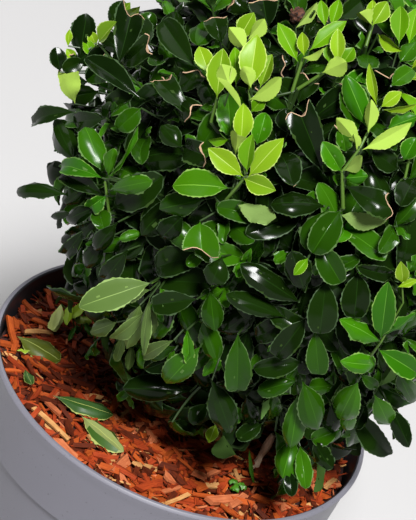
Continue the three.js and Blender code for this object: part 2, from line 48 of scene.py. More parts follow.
# Pot
POT_HEIGHT = 240 * MM
RIM_RADIUS = 150 * MM
BASE_RADIUS = 112 * MM
WALL = 2.8 * MM
FLOOR = 4 * MM
FOOT_EDGE = 3 * MM
COLLAR_HEIGHT = 58 * MM
COLLAR_FOOT = POT_HEIGHT - COLLAR_HEIGHT
COLLAR_TAPER = 3.5 * MM
COLLAR_STEP = 2.6 * MM
LIP_WIDTH = 2 * MM
LIP_HEIGHT = 7 * MM
LIP_SHOULDER = 2 * MM
LIP_ROUND = 1.4 * MM
LIP_INNER_ROUND = 1.2 * MM
POT_SIDES = 160
POT_BEVEL = 0.5 * MM
POT_BEVEL_ANGLE = 28
POT_SMOOTH = 35
DRAIN_COUNT = 8
DRAIN_RADIUS = 7 * MM
DRAIN_CIRCLE = 86 * MM
DRAIN_SIDES = 32

# Filling. The bed's heaps and lumps are given by how fine they are and how high in mm
GAP = 0.3 * MM
SOIL_TOP = 211 * MM
MULCH_TOP = 223 * MM
BED_SIDES = 96
BED_RINGS = 14
BED_FLAT_TOP = MULCH_TOP - 2 * MM
BED_RISE = 1 * MM
BED_SUNK = 5 * MM
BED_HEAPS = [(22, 3.4), (60, 1.6)]
BED_LUMPS = (160, 2.5)
TRUNK_HOLE = 14 * MM
CHIP_COUNT = 2000
SPLINTER_COUNT = 1700
CHIP_LENGTHS = (7, 25, 12)
CHIP_WIDTHS = (2.2, 6.5, 3.6)
SPLINTER_LENGTHS = (6, 15)
SPLINTER_WIDTHS = (0.7, 1.6)
CHIP_DEPTHS = (0.35, 0.6)
CHIP_LIFT = (-5, 3.2)
CHIP_PITCH = 9
CHIP_ROLL = 16
CHIP_SMOOTH = 30
SEEN_CHIP_LIFT = 4
SEEN_CHIP_DEPTH = 0.55

# Trunk, boughs and the second stem that comes up beside the trunk
TRUNK_TOP = 300 * MM
TRUNK_RADIUS = 9.5 * MM
FLARE_RADIUS = 19 * MM
FLARE_LENGTH = 0.16
FLARE_LOBES = 5
FLARE_LOBE_DEPTH = 0.14
FLARE_ZONE = FLARE_RADIUS * 1.4
TRUNK_TAPER = 0.08
TRUNK_LEAN = 9 * MM
BOUGH_COUNT = 4
BOUGH_LOW_FORK = 264 * MM
BOUGH_HIGH_FORK = 282 * MM
BOUGH_ROOT_RADIUS = 5.6 * MM
BOUGH_TIP_RADIUS = 3.4 * MM
BOUGH_REACH = 72 * MM
BOUGH_TIP_HEIGHT = 405 * MM
LEADER_ROOT_RADIUS = 7.6 * MM
LEADER_TIP_RADIUS = 3.6 * MM
LEADER_TOP = 514 * MM
LEADER_SUNK = 0.97
SIDE_STEM_FOOT = Vector((75, -38, 211.3)) * MM
SIDE_STEM_TIP = Vector((77, -36, 257)) * MM
SIDE_STEM_RADIUS = 3.3 * MM
SIDE_STEM_ZONE = 8 * MM
LIMB_STEPS = 24
WOOD_SMOOTH = 60
BARK_VOXEL = 1.1 * MM
BARK_FURROW = 0.45
BARK_LUMP = 0.4

# Crown: a clipped ball whose lower side comes down to the mulch
CROWN_CENTRE = Vector((14, 0, 428)) * MM
CROWN_RADIUS = 184 * MM
CAP_ELEVATION = 46
LOWEST_LEAF = 232 * MM
MULCH_CLEARANCE = 4 * MM
SKIRT_LEAST = 0.13
SKIRT_MOST = 0.24
SKIRT_SIDE = -20
SKIRT_STARTS = 30
SKIRT_FULL = 62
HANGS_BELOW = -15
HANG = 0.15
SITE_COUNT = 102
SITE_JITTER = 7
LOWEST_SITE = -72
UNEVENNESS = 0.05
SITE_MARGIN = 16 * MM
SEED = 20264
NEW_SHOOTS = [
    (-119, 44, 12), (-106, 31, 6), (-104, 58, 8), (-79, 47, 10), (-72, 70, 8), (-62, 20, 8),
    (-130, 13, 4), (-168, 24, 8), (35, 40, 8), (110, 30, 10), (70, 66, 6),
]
STEM_LENGTH = 34 * MM
STEM_RADIUS = 3.2 * MM
SHOOTS_PER_FORK = 5
FORK_PLACE = 0.55
FORK_RADIUS = 2.6 * MM
TWIG_RADIUS = 1.9 * MM
TWIG_SAG = 3 * MM
SHOOT_LENGTH = 24 * MM
SHOOT_RISE = 0.25
SPRAY_LENGTH = 54 * MM

# The finer growth that carries each of the crown's shoots on
FINE_PER_SHOOT = 3
FINE_SPREAD = 23 * MM
FINE_SPACING = 39 * MM
FINE_RISE = 0.55
FINE_REACH = (0.97, 1.01)
SPREAD_ROUNDS = 14
SPREAD_STEP = 0.3
BUD_DEPTH = 25 * MM
LIME_LIFT = 8 * MM
FRONT_DEPTH = 12 * MM
FRONT_FACING = 0.3
PLAIN_BELOW = -20
INNER_PER_SHOOT = 3
INNER_DEPTH = 58 * MM
INNER_RANGE = (0.85, 1.25)
INNER_ASIDE = 0.16
INNER_NECK = 0.18
SKIRT_BELOW = -22
SKIRT_INNER_MORE = 2
SKIRT_INNER_RANGE = (0.45, 1.25)
SHOOT_STEPS = 8
SHOOT_BEND = 0.6
STALK_RADIUS = 1.35 * MM
STALK_TIP_RADIUS = 0.7 * MM
JOINT_DEPTH = 14 * MM
SHORTEST_TWIG = 3 * MM

# Leaves
LEAF_LENGTH = 45 * MM
LONGEST_LEAF = 48 * MM
LEAF_BREADTH = 0.51
YOUNG_BREADTH = 0.88
ROLLED_SHARE = 0.5
VARIANTS = 12
LEAF_SEEDS = 1 << 30
LEAF_THICKNESS = 0.55 * MM
LEAF_SMOOTH = 38
PETIOLE = 0.07
PETIOLE_ENDS = PETIOLE * 1.6
PETIOLE_HALF = 0.8 * MM
BEND_STEPS = 20
BEND_GATHERS = 1.3
BEND_TO_RISE = 2.3
LOWEST_TIP = 229 * MM
OVER_RIM = 2 * MM
INSIDE_RIM = 8 * MM
CUT_RIM = 0.36 * MM
CUT_RIM_SIDES = 5
CUT_WAVE = 0.055
CUT_WAVES = 3.8
BLISTER = 0.68
YOUNG_BLISTER = 0.15
YOUNG = ("lime", "fresh")
GROWN = ("bright", "vivid", "pale")

# Camera and light
PHOTO_WIDTH = 416
PHOTO_HEIGHT = 520
FRAME_EDGE = 20
SENSOR = 36
CAMERA_DISTANCE = 1528 * MM
CAMERA_ELEVATION = 35.1
CAMERA_ROLL = 24.7
CAMERA_PAN = -0.7
CAMERA_TILT = -3.5
CLIP_START = 0.05
LENS = 138.46
FLOOR_SIZE = 14
FLOOR_DROP = 0.5 * MM
FLOOR_COLOUR = "#aeadad"
SKY = 0.11
# Each softbox: place, target, width and power
SOFTBOXES = {
    "front softbox": ((0.8, -4.5, 6.85), (0, 0, 0.35), 1.7, 1320),
    "overhead softbox": ((-0.8, 2, 5.6), (0, 0, 0.35), 6.4, 205),
}


def rotation(degrees, axis):
    return Matrix.Rotation(rad(degrees), 3, axis)


def camera_turn():
    turn = rotation(90 - CAMERA_ELEVATION, "X") @ rotation(CAMERA_ROLL, "Z")
    return turn @ rotation(CAMERA_PAN, "Y") @ rotation(-CAMERA_TILT, "X")


TURN = camera_turn()
EYE = Vector((0, -math.cos(rad(CAMERA_ELEVATION)), math.sin(rad(CAMERA_ELEVATION)))) * CAMERA_DISTANCE
EYE.z += POT_HEIGHT
FOCUS = LENS / SENSOR * PHOTO_HEIGHT


def seen_at(x, y, reach):
    """The place that the photo shows at a pixel, this far from the crown's centre but above the mulch."""
    sight = (TURN @ Vector(((x - PHOTO_WIDTH / 2) / FOCUS, (PHOTO_HEIGHT / 2 - y) / FOCUS, -1))).normalized()
    middle = (CROWN_CENTRE - EYE).dot(sight)
    aside = (EYE + sight * middle - CROWN_CENTRE).length
    place = EYE + sight * (middle - math.sqrt(max(0, reach ** 2 - aside ** 2)))
    if place.z < LOWEST_TIP:
        place = EYE + sight * (LOWEST_TIP - EYE.z) / sight.z
    return place


def above_mulch(x, y, height):
    """The place that the photo shows at a pixel, this many mm above the mulch."""
    sight = seen_at(x, y, 0) - EYE
    return EYE + sight * (MULCH_TOP + height * MM - EYE.z) / sight.z


def pixels(points):
    """Where points lie on the photo, with their distance from the lens."""
    local = (points - np.array(EYE)) @ np.array(TURN)
    scale = FOCUS / -local[:, 2]
    x = PHOTO_WIDTH / 2 + local[:, 0] * scale
    y = PHOTO_HEIGHT / 2 - local[:, 1] * scale
    return np.stack([x, y, -local[:, 2]], axis=1)


# Tools for making shapes
def deselect():
    bpy.ops.object.select_all(action="DESELECT")


def pick(*items):
    """Selects only these objects, the last of them active."""
    deselect()
    for item in items:
        item.select_set(True)
    bpy.context.view_layer.objects.active = items[-1]


def added(name):
    """The object that the last primitive operator made, under its own name."""
    item = bpy.context.object
    item.name = name
    item.data.name = name
    return item


def settle(item):
    """Puts the object's place into its mesh."""
    pick(item)
    bpy.ops.object.transform_apply(location=True, rotation=True, scale=True)


def modify(item, kind, **settings):
    """Adds a modifier, sets it and applies it."""
    pick(item)
    modifier = item.modifiers.new(kind.lower(), kind)
    for name, value in settings.items():
        setattr(modifier, name, value)
    bpy.ops.object.modifier_apply(modifier=modifier.name)


def smooth(item, angle):
    pick(item)
    bpy.ops.object.shade_smooth_by_angle(angle=rad(angle))


def join(name, items):
    pick(*items)
    bpy.ops.object.join()
    return added(name)


def linked(name, data):
    """A new object made of this mesh, curve, camera or light, put into the scene."""
    item = bpy.data.objects.new(name, data)
    bpy.context.scene.collection.objects.link(item)
    return item


def disc(name, sides, radius, height):
    """A filled disc, which a round piece is drawn up from."""
    place = (0, 0, height)
    bpy.ops.mesh.primitive_circle_add(vertices=sides, radius=radius, fill_type="NGON", location=place)
    item = added(name)
    settle(item)
    return item


def edit(item, select_mode):
    """Opens the object in edit mode, with all of it selected."""
    pick(item)
    bpy.ops.object.mode_set(mode="EDIT")
    bpy.ops.mesh.select_mode(type=select_mode)
    bpy.ops.mesh.select_all(action="SELECT")


def leave_edit():
    """Turns every face outwards and leaves edit mode."""
    bpy.ops.mesh.select_all(action="SELECT")
    bpy.ops.mesh.normals_make_consistent(inside=False)
    bpy.ops.object.mode_set(mode="OBJECT")


def finish_piece(item, slot, *nodes):
    """Rides the piece on the body and says which solids it stands for. Its slot is not used."""
    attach(item, "root")
    if nodes:
        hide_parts(*nodes)


# Tools for finishes
def colour(code):
    """A colour written as in a paint chart, #rrggbb, as Blender's linear values."""
    parts = [int(code[place:place + 2], 16) / 255 for place in (1, 3, 5)]
    return tuple(p / 12.92 if p <= 0.04045 else ((p + 0.055) / 1.055) ** 2.4 for p in parts) + (1,)


class Wire:
    """A socket of a finish. Its operators add Math nodes."""

    def __init__(self, finish, socket):
        self.finish = finish
        self.socket = socket

    def maths(self, operation, other):
        return self.finish.node("ShaderNodeMath", {"operation": operation}, {0: self, 1: other})

    def __add__(self, other):
        return self.maths("ADD", other)

    def __mul__(self, other):
        return self.maths("MULTIPLY", other)

    def __gt__(self, other):
        return self.maths("GREATER_THAN", other)

    __radd__ = __add__
    __rmul__ = __mul__


class Finish:
    """A material, built node by node round its Principled shader."""

    def __init__(self, name):
        self.material = bpy.data.materials.new(name)
        self.material.use_nodes = True
        self.tree = self.material.node_tree
        self.shader = self.tree.nodes["Principled BSDF"]

    def put(self, socket, value):
        if isinstance(value, Wire):
            self.tree.links.new(value.socket, socket)
        elif value is not None:
            socket.default_value = value

    def node(self, kind, settings, values, out=0):
        """Adds a node, sets it, then fills its sockets, and returns one of its outputs."""
        made = self.tree.nodes.new(kind)
        for name, value in settings.items():
            if name == "stops":
                for _ in value[2:]:
                    made.color_ramp.elements.new(0.5)
                for element, (place, shade) in zip(made.color_ramp.elements, value):
                    element.position = place
                    element.color = shade
            else:
                setattr(made, name, value)
        for name, value in values.items():
            self.put(made.inputs[name], value)
        return Wire(self, made.outputs[out])

    def place(self):
        return self.node("ShaderNodeTexCoord", {}, {}, "Object")

    def stretched(self, vector, scale, turn=(0, 0, 0)):
        return self.node("ShaderNodeMapping", {}, {"Vector": vector, "Scale": scale, "Rotation": turn})

    def grain(self, vector, scale, detail=3.0, rough=0.55):
        values = {"Vector": vector, "Scale": scale, "Detail": detail, "Roughness": rough}
        return self.node("ShaderNodeTexNoise", {}, values, "Fac")

    def cells(self, vector, scale):
        return self.node("ShaderNodeTexVoronoi", {}, {"Vector": vector, "Scale": scale}, "Distance")

    def ramp(self, value, *stops):
        return self.node("ShaderNodeValToRGB", {"stops": stops}, {"Fac": value}, "Color")

    def mixed(self, share, first, second):
        settings = {"data_type": "RGBA"}
        return self.node("ShaderNodeMix", settings, {0: share, 6: first, 7: second}, 2)

    def bump(self, height, depth, strength=1.0):
        return self.node("ShaderNodeBump", {}, {"Height": height, "Distance": depth, "Strength": strength})

    def surface(self, **values):
        for name, value in values.items():
            self.put(self.shader.inputs[name.replace("_", " ")], value)
        return self.material


# The seeded rule that the crown grows by
def seeded_random(seed):
    """Random numbers from 0 to 1 that always give the same run."""
    state = seed & 0xFFFFFFFF

    def draw():
        nonlocal state
        state = (state + 0x6D2B79F5) & 0xFFFFFFFF
        mixed = ((state ^ (state >> 15)) * (1 | state)) & 0xFFFFFFFF
        turned = ((mixed ^ (mixed >> 7)) * (61 | mixed)) & 0xFFFFFFFF
        mixed = ((mixed + turned) & 0xFFFFFFFF) ^ mixed
        return (mixed ^ (mixed >> 14)) / 4294967296

    return draw


def direction(azimuth, elevation):
    level = math.cos(elevation)
    return Vector((level * math.cos(azimuth), level * math.sin(azimuth), math.sin(elevation)))


def angles(vector):
    return math.atan2(vector.y, vector.x), math.asin(max(-1, min(1, vector.normalized().z)))


def smoothstep(value, low, high):
    share = max(0, min(1, (value - low) / (high - low)))
    return share * share * (3 - 2 * share)


def crown_reach(azimuth, elevation):
    """How far from the crown's centre the leaves reach in one direction."""
    low = smoothstep(-elevation, rad(SKIRT_STARTS), rad(SKIRT_FULL))
    side = 0.5 + 0.5 * math.cos(azimuth - rad(SKIRT_SIDE))
    reach = CROWN_RADIUS * (1 + low * (SKIRT_LEAST + (SKIRT_MOST - SKIRT_LEAST) * side))
    to_mulch = (CROWN_CENTRE.z - LOWEST_LEAF - MULCH_CLEARANCE) / max(math.sin(-elevation), 0.01)
    return min(reach, to_mulch)


def shoot_sites():
    """Where the shoots end: an even spiral over the ball, shaken a little, with the new shoots moved in."""
    draw = seeded_random(SEED)
    shake = rad(SITE_JITTER)
    sites = []
    for index in range(SITE_COUNT):
        elevation = math.asin(1 - (2 * index + 1) / SITE_COUNT) + (draw() - 0.5) * shake
        azimuth = index * GOLDEN_ANGLE + (draw() - 0.5) * shake / math.cos(elevation)
        shrink = 1 - draw() * UNEVENNESS
        if elevation > rad(LOWEST_SITE):
            reach = crown_reach(azimuth, elevation) * shrink
            sites.append({"azimuth": azimuth, "elevation": elevation, "reach": reach, "shrink": shrink})
    for azimuth, elevation, extra in NEW_SHOOTS:
        aim = direction(rad(azimuth), rad(elevation))
        nearest = max(sites, key=lambda site: direction(site["azimuth"], site["elevation"]).dot(aim))
        reach = crown_reach(rad(azimuth), rad(elevation)) + extra * MM
        nearest.update(azimuth=rad(azimuth), elevation=rad(elevation), reach=reach)
    return sites


def sector_azimuth(sector):
    """The middle of each side mass, as an azimuth about the crown's upright axis."""
    return 2 * math.pi * sector / BOUGH_COUNT


def shared_sites():
    """Shares the sites among the masses, each drawn in from the edges of the space it falls in."""
    shares = [[] for _ in range(BOUGH_COUNT + 1)]
    margin = SITE_MARGIN / CROWN_RADIUS
    for site in shoot_sites():
        sector = round(site["azimuth"] * BOUGH_COUNT / (2 * math.pi)) % BOUGH_COUNT
        middle = sector_azimuth(sector)
        aside = math.remainder(site["azimuth"] - middle, 2 * math.pi)
        edge = math.atan(math.tan(rad(CAP_ELEVATION)) * math.cos(aside))
        if site["elevation"] > edge:
            site["elevation"] = max(site["elevation"], edge + margin)
            shares[BOUGH_COUNT].append(site)
            continue
        room = math.pi / BOUGH_COUNT - margin / math.cos(site["elevation"])
        site["elevation"] = min(site["elevation"], edge - margin)
        site["azimuth"] = middle + max(-room, min(room, aside))
        shares[sector].append(site)
    return shares


class Curve:
    """A smooth curve through its points, the same one that the solids follow."""

    def __init__(self, points):
        self.points = points

    def at(self, share):
        points = self.points
        place = (len(points) - 1) * share
        first = min(int(place), len(points) - 2)
        rest = place - first
        b = points[first]
        c = points[first + 1]
        a = points[first - 1] if first else 2 * b - c
        d = points[first + 2] if first + 2 < len(points) else 2 * c - b
        before, here, after = (max((q - p).length ** 0.5, 1e-6) for p, q in ((a, b), (b, c), (c, d)))
        leave = ((b - a) / before - (c - a) / (before + here) + (c - b) / here) * here
        arrive = ((c - b) / here - (d - b) / (here + after) + (d - c) / after) * here
        cubic = 2 * b - 2 * c + leave + arrive
        square = 3 * c - 3 * b - 2 * leave - arrive
        return b + leave * rest + square * rest ** 2 + cubic * rest ** 3

    def tangent(self, share):
        low = max(0, share - 1e-4)
        return (self.at(min(1, low + 2e-4)) - self.at(low)).normalized()


def trunk_curve():
    return Curve([
        Vector((0, 0, SOIL_TOP + GAP)),
        Vector((0, 0, SOIL_TOP + 24 * MM)),
        Vector((TRUNK_LEAN / 2, 1 * MM, (SOIL_TOP + TRUNK_TOP) / 2 + 12 * MM)),
        Vector((TRUNK_LEAN, 0, TRUNK_TOP)),
    ])


def leader_curve(trunk):
    top = trunk.at(1)
    rise = trunk.tangent(1)
    x = CROWN_CENTRE.x
    return Curve([
        top + rise * GAP,
        top + rise * 40 * MM,
        Vector((x + 3 * MM, 2 * MM, (TRUNK_TOP + LEADER_TOP) / 2)),
        Vector((x, 0, LEADER_TOP - 30 * MM)),
        Vector((x, 0, LEADER_TOP)),
    ])


def bough_curve(trunk, sector):
    fork = BOUGH_HIGH_FORK if sector % 2 else BOUGH_LOW_FORK
    root = trunk.at((fork - SOIL_TOP) / (TRUNK_TOP - SOIL_TOP))
    out = direction(sector_azimuth(sector), 0)
    tip = Vector((CROWN_CENTRE.x, CROWN_CENTRE.y, BOUGH_TIP_HEIGHT)) + out * BOUGH_REACH
    bend = root.lerp(tip, 0.4) + out * 10 * MM
    turn = tip - out * 22 * MM - UP * 14 * MM
    return Curve([root, bend, turn, tip])


# Many small shapes gathered into one mesh
class Heap:
    def __init__(self):
        self.points = []
        self.faces = []
        self.finishes = []
        self.maps = []

    def add(self, points, faces, finishes, uv=None):
        """Adds a shape: its points, its faces as corner numbers, and one finish, or one for each face."""
        start = len(self.points)
        self.points.extend(points)
        self.faces.extend([tuple(corner + start for corner in face) for face in faces])
        self.finishes.extend([finishes] * len(faces) if isinstance(finishes, int) else finishes)
        if uv is not None:
            self.maps.extend(uv[corner] for face in faces for corner in face)

    def piece(self, name, materials, angle):
        """The heap as one object, smooth where its faces meet at less than this angle."""
        mesh = bpy.data.meshes.new(name)
        mesh.from_pydata([tuple(point) for point in self.points], [], self.faces)
        for material in materials:
            mesh.materials.append(material)
        mesh.polygons.foreach_set("material_index", self.finishes)
        if self.maps:
            layer = mesh.uv_layers.new(name="grain")
            layer.uv.foreach_set("vector", np.array(self.maps, np.float32).ravel())
        item = linked(name, mesh)
        smooth(item, angle)
        bpy.ops.object.material_slot_remove_unused()
        return item


def between_rings(rings, sides):
    """The faces of a tube, without its ends, as corner numbers counted ring by ring."""
    faces = []
    for low in range(0, (rings - 1) * sides, sides):
        for turn in range(sides):
            after = (turn + 1) % sides
            faces.append((low + turn, low + after, low + sides + after, low + sides + turn))
    return faces


def tube(heap, path, radii, sides, finish):
    """A round twig along a path, closed at both ends."""
    points = []
    last = len(path) - 1
    across = (path[1] - path[0]).orthogonal().normalized()
    for index, (place, radius) in enumerate(zip(path, radii)):
        ahead = (path[min(index + 1, last)] - path[max(index - 1, 0)]).normalized()
        across = (across - ahead * across.dot(ahead)).normalized()
        upright = ahead.cross(across)
        for turn in range(sides):
            angle = 2 * math.pi * turn / sides
            points.append(place + (across * math.cos(angle) + upright * math.sin(angle)) * radius)
    ends = [tuple(reversed(range(sides))), tuple(range(last * sides, len(path) * sides))]
    heap.add(points, between_rings(len(path), sides) + ends, finish)


# Leaf blades. Stations run along a leaf from 0 to 1, columns run across it from -1 to 1
STATIONS = np.array([0, 0.1, 0.24, 0.41, 0.6, 0.78, 0.92, 1])
COLUMNS = np.array([-1, -0.955, -0.5, -0.03, 0.03, 0.5, 0.955, 1])
UNDER_COLUMNS = np.array([-0.5, 0, 0.5])
TOOTH_PLACES = np.array([0.2, 0.45, 0.75])
TOOTH_REACHES = np.array([0.045, -0.03, 0.045])
TOOTHED_SPANS = 6
END_SPANS = (1, 2, 4, 5)
END_COLUMNS = np.array([-0.73, -0.265, 0.265, 0.73])
ROUGH_STATIONS = np.array([0.16, 0.38, 0.6, 0.82, 1])
ROUGH_COLUMNS = np.array([-1.0, 0, 1])
FACE, RIB, MARGIN, UNDER, CUT = range(5)
# The range that each part of a leaf's habit is drawn from, with folds, bends and twists in degrees and the
# height of the waves in mm
HABIT = {
    "breadth": (0.84, 1.14),
    "rolled fold": (10, 30),
    "open fold": (24, 42),
    "rolled curl": (0.6, 1),
    "open curl": (0.05, 0.25),
    "young bend": (8, 34),
    "old bend": (30, 90),
    "sweep": (-0.12, 0.12),
    "twist": (-30, 30),
    "young wave": (0.3, 1),
    "old wave": (0.8, 2.6),
    "waves": (1.2, 3),
    "phase": (0, 6.3),
    "waist": (1.04, 1.26),
    "foot taper": (0.52, 0.72),
    "tip taper": (0.4, 0.54),
}
FULL_WAIST = 1.02
YOUNG_FOOT_TAPER = 0.95
YOUNG_TIP_TAPER = 0.92
GROWN_TIP_TAPER = 0.74


class Leaf:
    """One leaf: where it starts, its direction, which way its face looks, and its shape."""

    def __init__(self, chance, start, along, face, length, tone):
        def drawn(part):
            return chance.uniform(*HABIT[part])

        self.start = start
        self.along = along
        self.side = face.cross(along).normalized()
        self.face = along.cross(self.side)
        self.length = length
        self.tone = tone
        self.variant = chance.randrange(VARIANTS)
        self.young = tone in YOUNG
        grown = tone in GROWN
        age = "young" if self.young else "old"
        self.width = length * LEAF_BREADTH * drawn("breadth") * (YOUNG_BREADTH if self.young else 1)
        form = "rolled" if not self.young and chance.random() < ROLLED_SHARE else "open"
        self.fold = rad(drawn(form + " fold"))
        self.curl = drawn(form + " curl")
        self.bend = rad(drawn(age + " bend"))
        self.sweep = drawn("sweep")
        self.twist = rad(drawn("twist"))
        self.wave = drawn(age + " wave") * MM
        self.waves = drawn("waves")
        self.phases = (drawn("phase"), drawn("phase"))
        self.waist = FULL_WAIST if self.young or grown else drawn("waist")
        self.foot_taper = YOUNG_FOOT_TAPER if self.young else drawn("foot taper")
        self.tip_taper = YOUNG_TIP_TAPER if self.young else GROWN_TIP_TAPER if grown else drawn("tip taper")
        self.blister = chance.randrange(LEAF_SEEDS)
        self.cut = None

    def grid(self, stations, columns, depth=0):
        """Where points lie that stand at these stations and columns, this deep in the leaf."""
        across = columns + np.zeros((len(stations), 1))
        along = stations[:, None] * np.ones(across.shape)
        if self.cut:
            end, slant = self.cut
            along = along * (end + slant * across + CUT_WAVE * np.sin(CUT_WAVES * across + self.phases[0]))
        blade = np.clip((along - PETIOLE) / (1 - PETIOLE), 0, 1)
        taper = self.foot_taper + (self.tip_taper - self.foot_taper) * blade
        half = 0.5 * self.width * np.sin(np.pi * blade ** self.waist).clip(0, 1) ** taper
        half = np.where(along < PETIOLE_ENDS, np.maximum(half, PETIOLE_HALF), half)
        half = np.where(stations[:, None] == 0, 0, half)
        steps = np.linspace(0, 1, BEND_STEPS + 1)
        slope = self.bend * steps ** BEND_GATHERS
        slope = (slope[1:] + slope[:-1]) / 2
        forward = np.append(0, np.cumsum(np.cos(slope))) / BEND_STEPS
        down = np.append(0, np.cumsum(np.sin(slope))) / BEND_STEPS
        tilt = self.bend * along ** BEND_GATHERS
        phase = np.where(across < 0, self.phases[0], self.phases[1])
        share = half / (0.5 * self.width)
        lift = half * (math.sin(self.fold) * np.abs(across) - self.curl * across ** 2)
        lift = lift + self.wave * np.sin(2 * np.pi * self.waves * along + phase) * across ** 2 * share
        sideways = half * across * math.cos(self.fold)
        turn = self.twist * along
        height = lift * np.cos(turn) + sideways * np.sin(turn) - depth
        sideways = sideways * np.cos(turn) - lift * np.sin(turn)
        x = self.length * np.interp(along, steps, forward) + height * np.sin(tilt)
        y = sideways + self.sweep * self.length * along ** 2
        z = -self.length * np.interp(along, steps, down) + height * np.cos(tilt)
        return np.stack([x, y, z], axis=-1)

    def teeth(self):
        """The points between the stations that give both edges their fine teeth."""
        low = STATIONS[1:TOOTHED_SPANS + 1, None]
        high = STATIONS[2:TOOTHED_SPANS + 2, None]
        places = (low + (high - low) * TOOTH_PLACES).ravel()
        out = 1 + np.tile(TOOTH_REACHES, TOOTHED_SPANS)
        return self.grid(places, np.stack([-out, out], axis=1))

    def placed(self, points):
        basis = np.array([self.along, self.side, self.face])
        return points @ basis + np.array(self.start)

    def rough(self):
        """A plain copy of the blade, to test whether it cuts through another."""
        return self.placed(self.grid(ROUGH_STATIONS, ROUGH_COLUMNS)).reshape(-1, 3)


def leaf_faces(cut):
    """A leaf's faces as corner numbers, and the part that each one belongs to."""
    width = len(COLUMNS)
    whole = width + len(UNDER_COLUMNS)
    last = len(STATIONS) - 1
    teeth = len(TOOTH_PLACES)
    parts = [MARGIN, FACE, FACE, RIB, FACE, FACE, MARGIN]
    faces = []
    looks = []

    def corner(row, column):
        if row == 0:
            return 0
        if row == last and not cut:
            return 1 + (last - 1) * whole
        return 1 + (row - 1) * whole + column

    first_tooth = corner(last, whole - 1) + 1
    first_end = first_tooth + TOOTHED_SPANS * teeth * 2

    def face(part, *corners):
        ring = tuple(dict.fromkeys(corners))
        if len(ring) > 2:
            faces.append(ring)
            looks.append(part)

    def edge(row, side):
        """The teeth of one span on one edge, counted toward the tip."""
        if not 1 <= row <= TOOTHED_SPANS:
            return []
        first = first_tooth + (row - 1) * teeth * 2 + side
        return [first + tooth * 2 for tooth in range(teeth)]

    def between(row, column):
        """The point that bends the cut end between two columns."""
        if cut and row == last and column in END_SPANS:
            return [first_end + END_SPANS.index(column)]
        return []

    for row in range(last):
        left = edge(row, 0)
        right = edge(row, 1)
        for column in range(width - 1):
            start = [corner(row, column), *(left if column == 0 else []), corner(row + 1, column)]
            ahead = [*between(row + 1, column), corner(row + 1, column + 1)]
            back = right[::-1] if column == width - 2 else []
            face(parts[column], *start, *ahead, *back, corner(row, column + 1))
        inner = [corner(row, width), corner(row + 1, width), corner(row + 1, 0)]
        face(UNDER, *inner, *left[::-1], corner(row, 0))
        for column in (width + 1, width + 2):
            low = [corner(row, column), corner(row + 1, column)]
            face(UNDER, *low, corner(row + 1, column - 1), corner(row, column - 1))
        outer = [corner(row + 1, width - 1), corner(row + 1, whole - 1), corner(row, whole - 1)]
        face(UNDER, corner(row, width - 1), *right, *outer)
    if cut:
        end = [point for column in range(width) for point in (corner(last, column), *between(last, column))]
        face(CUT, *end, *[corner(last, column) for column in range(whole - 1, width - 1, -1)])
    return faces, looks


LEAF_FACES = leaf_faces(False)
CUT_LEAF_FACES = leaf_faces(True)


def pressed_teeth(leaf, top):
    """The teeth, pressed onto the flat span that each stands on, so that no underside shows through."""
    spans = np.repeat(np.arange(1, TOOTHED_SPANS + 1), len(TOOTH_PLACES))
    share = np.tile(TOOTH_PLACES, TOOTHED_SPANS)[:, None, None]
    edge = top[:, [0, -1]]
    inner = top[:, [2, -3]]
    low = edge[spans]
    high = edge[spans + 1]
    chord = low + (high - low) * share
    normal = np.cross(high - low, inner[spans] + inner[spans + 1] - low - high)
    normal /= np.linalg.norm(normal, axis=-1, keepdims=True)
    off = leaf.teeth() - chord
    return chord + off - normal * (off * normal).sum(axis=-1, keepdims=True)


def leaf_shape(leaf):
    """The leaf's own points, in the order that its faces count them."""
    chance = np.random.default_rng(leaf.blister)
    bumps = chance.uniform(-1, 1, (len(STATIONS), 4)) * (YOUNG_BLISTER if leaf.young else BLISTER) * MM
    bumps[0] = bumps[-1] = 0
    bumps[:, 2] = bumps[:, 1]
    top = leaf.grid(STATIONS, COLUMNS, np.pad(bumps, ((0, 0), (2, 2))))
    under = leaf.grid(STATIONS, UNDER_COLUMNS, LEAF_THICKNESS + bumps[:, [0, 1, 3]])
    rows = np.concatenate([top, under], axis=1)
    end = rows[-1] if leaf.cut else rows[-1, :1]
    flat = [rows[0, :1], rows[1:-1].reshape(-1, 3), end, pressed_teeth(leaf, top).reshape(-1, 3)]
    if leaf.cut:
        flat.append(leaf.grid(STATIONS[-1:], END_COLUMNS)[0])
    return leaf.placed(np.concatenate(flat))


def cut_rim(leaf):
    """The path of the dried edge that the shears left across a leaf."""
    columns = np.sort(np.append(COLUMNS, END_COLUMNS))
    return [Vector(point) for point in leaf.placed(leaf.grid(STATIONS[-1:], columns, LEAF_THICKNESS / 2)[0])]


# Leaf colours, dealt out by spray: face, rib, margin and underside
TONES = {
    "shade": (["#0b1a03", "#0d1e04"], "#102206", "#1d2c11", "#243219"),
    "dark": (["#0c1b03", "#102204", "#091703"], "#152b08", "#394c30", "#2c3f1a"),
    "deep": (["#193703", "#1e4003"], "#274b0b", "#4a6238", "#3a5524"),
    "mid": (["#2b5506", "#275006"], "#3b6816", "#5b7a40", "#4c6a34"),
    "bright": (["#306405", "#265804"], "#4f7f28", "#6b8c40", "#55793a"),
    "vivid": (["#336003", "#2e5b02"], "#5f8a2c", "#6d8e40", "#5c7c36"),
    "fresh": (["#507e06", "#487405"], "#7a9838", "#829e44", "#728a3e"),
    "lime": (["#6f9216", "#688810", "#5c7e10"], "#9ab050", "#9cb05a", "#8ca844"),
    "pale": (["#50672f", "#485e2b"], "#6e8546", "#768e50", "#667e42"),
}
GLOSS = {
    "shade": 0.42, "dark": 0.17, "deep": 0.18, "mid": 0.22, "bright": 0.28, "vivid": 0.32, "fresh": 0.32,
    "lime": 0.32, "pale": 0.42,
}
MARGIN_GLOSS = 0.5
UNDER_GLOSS = 0.62
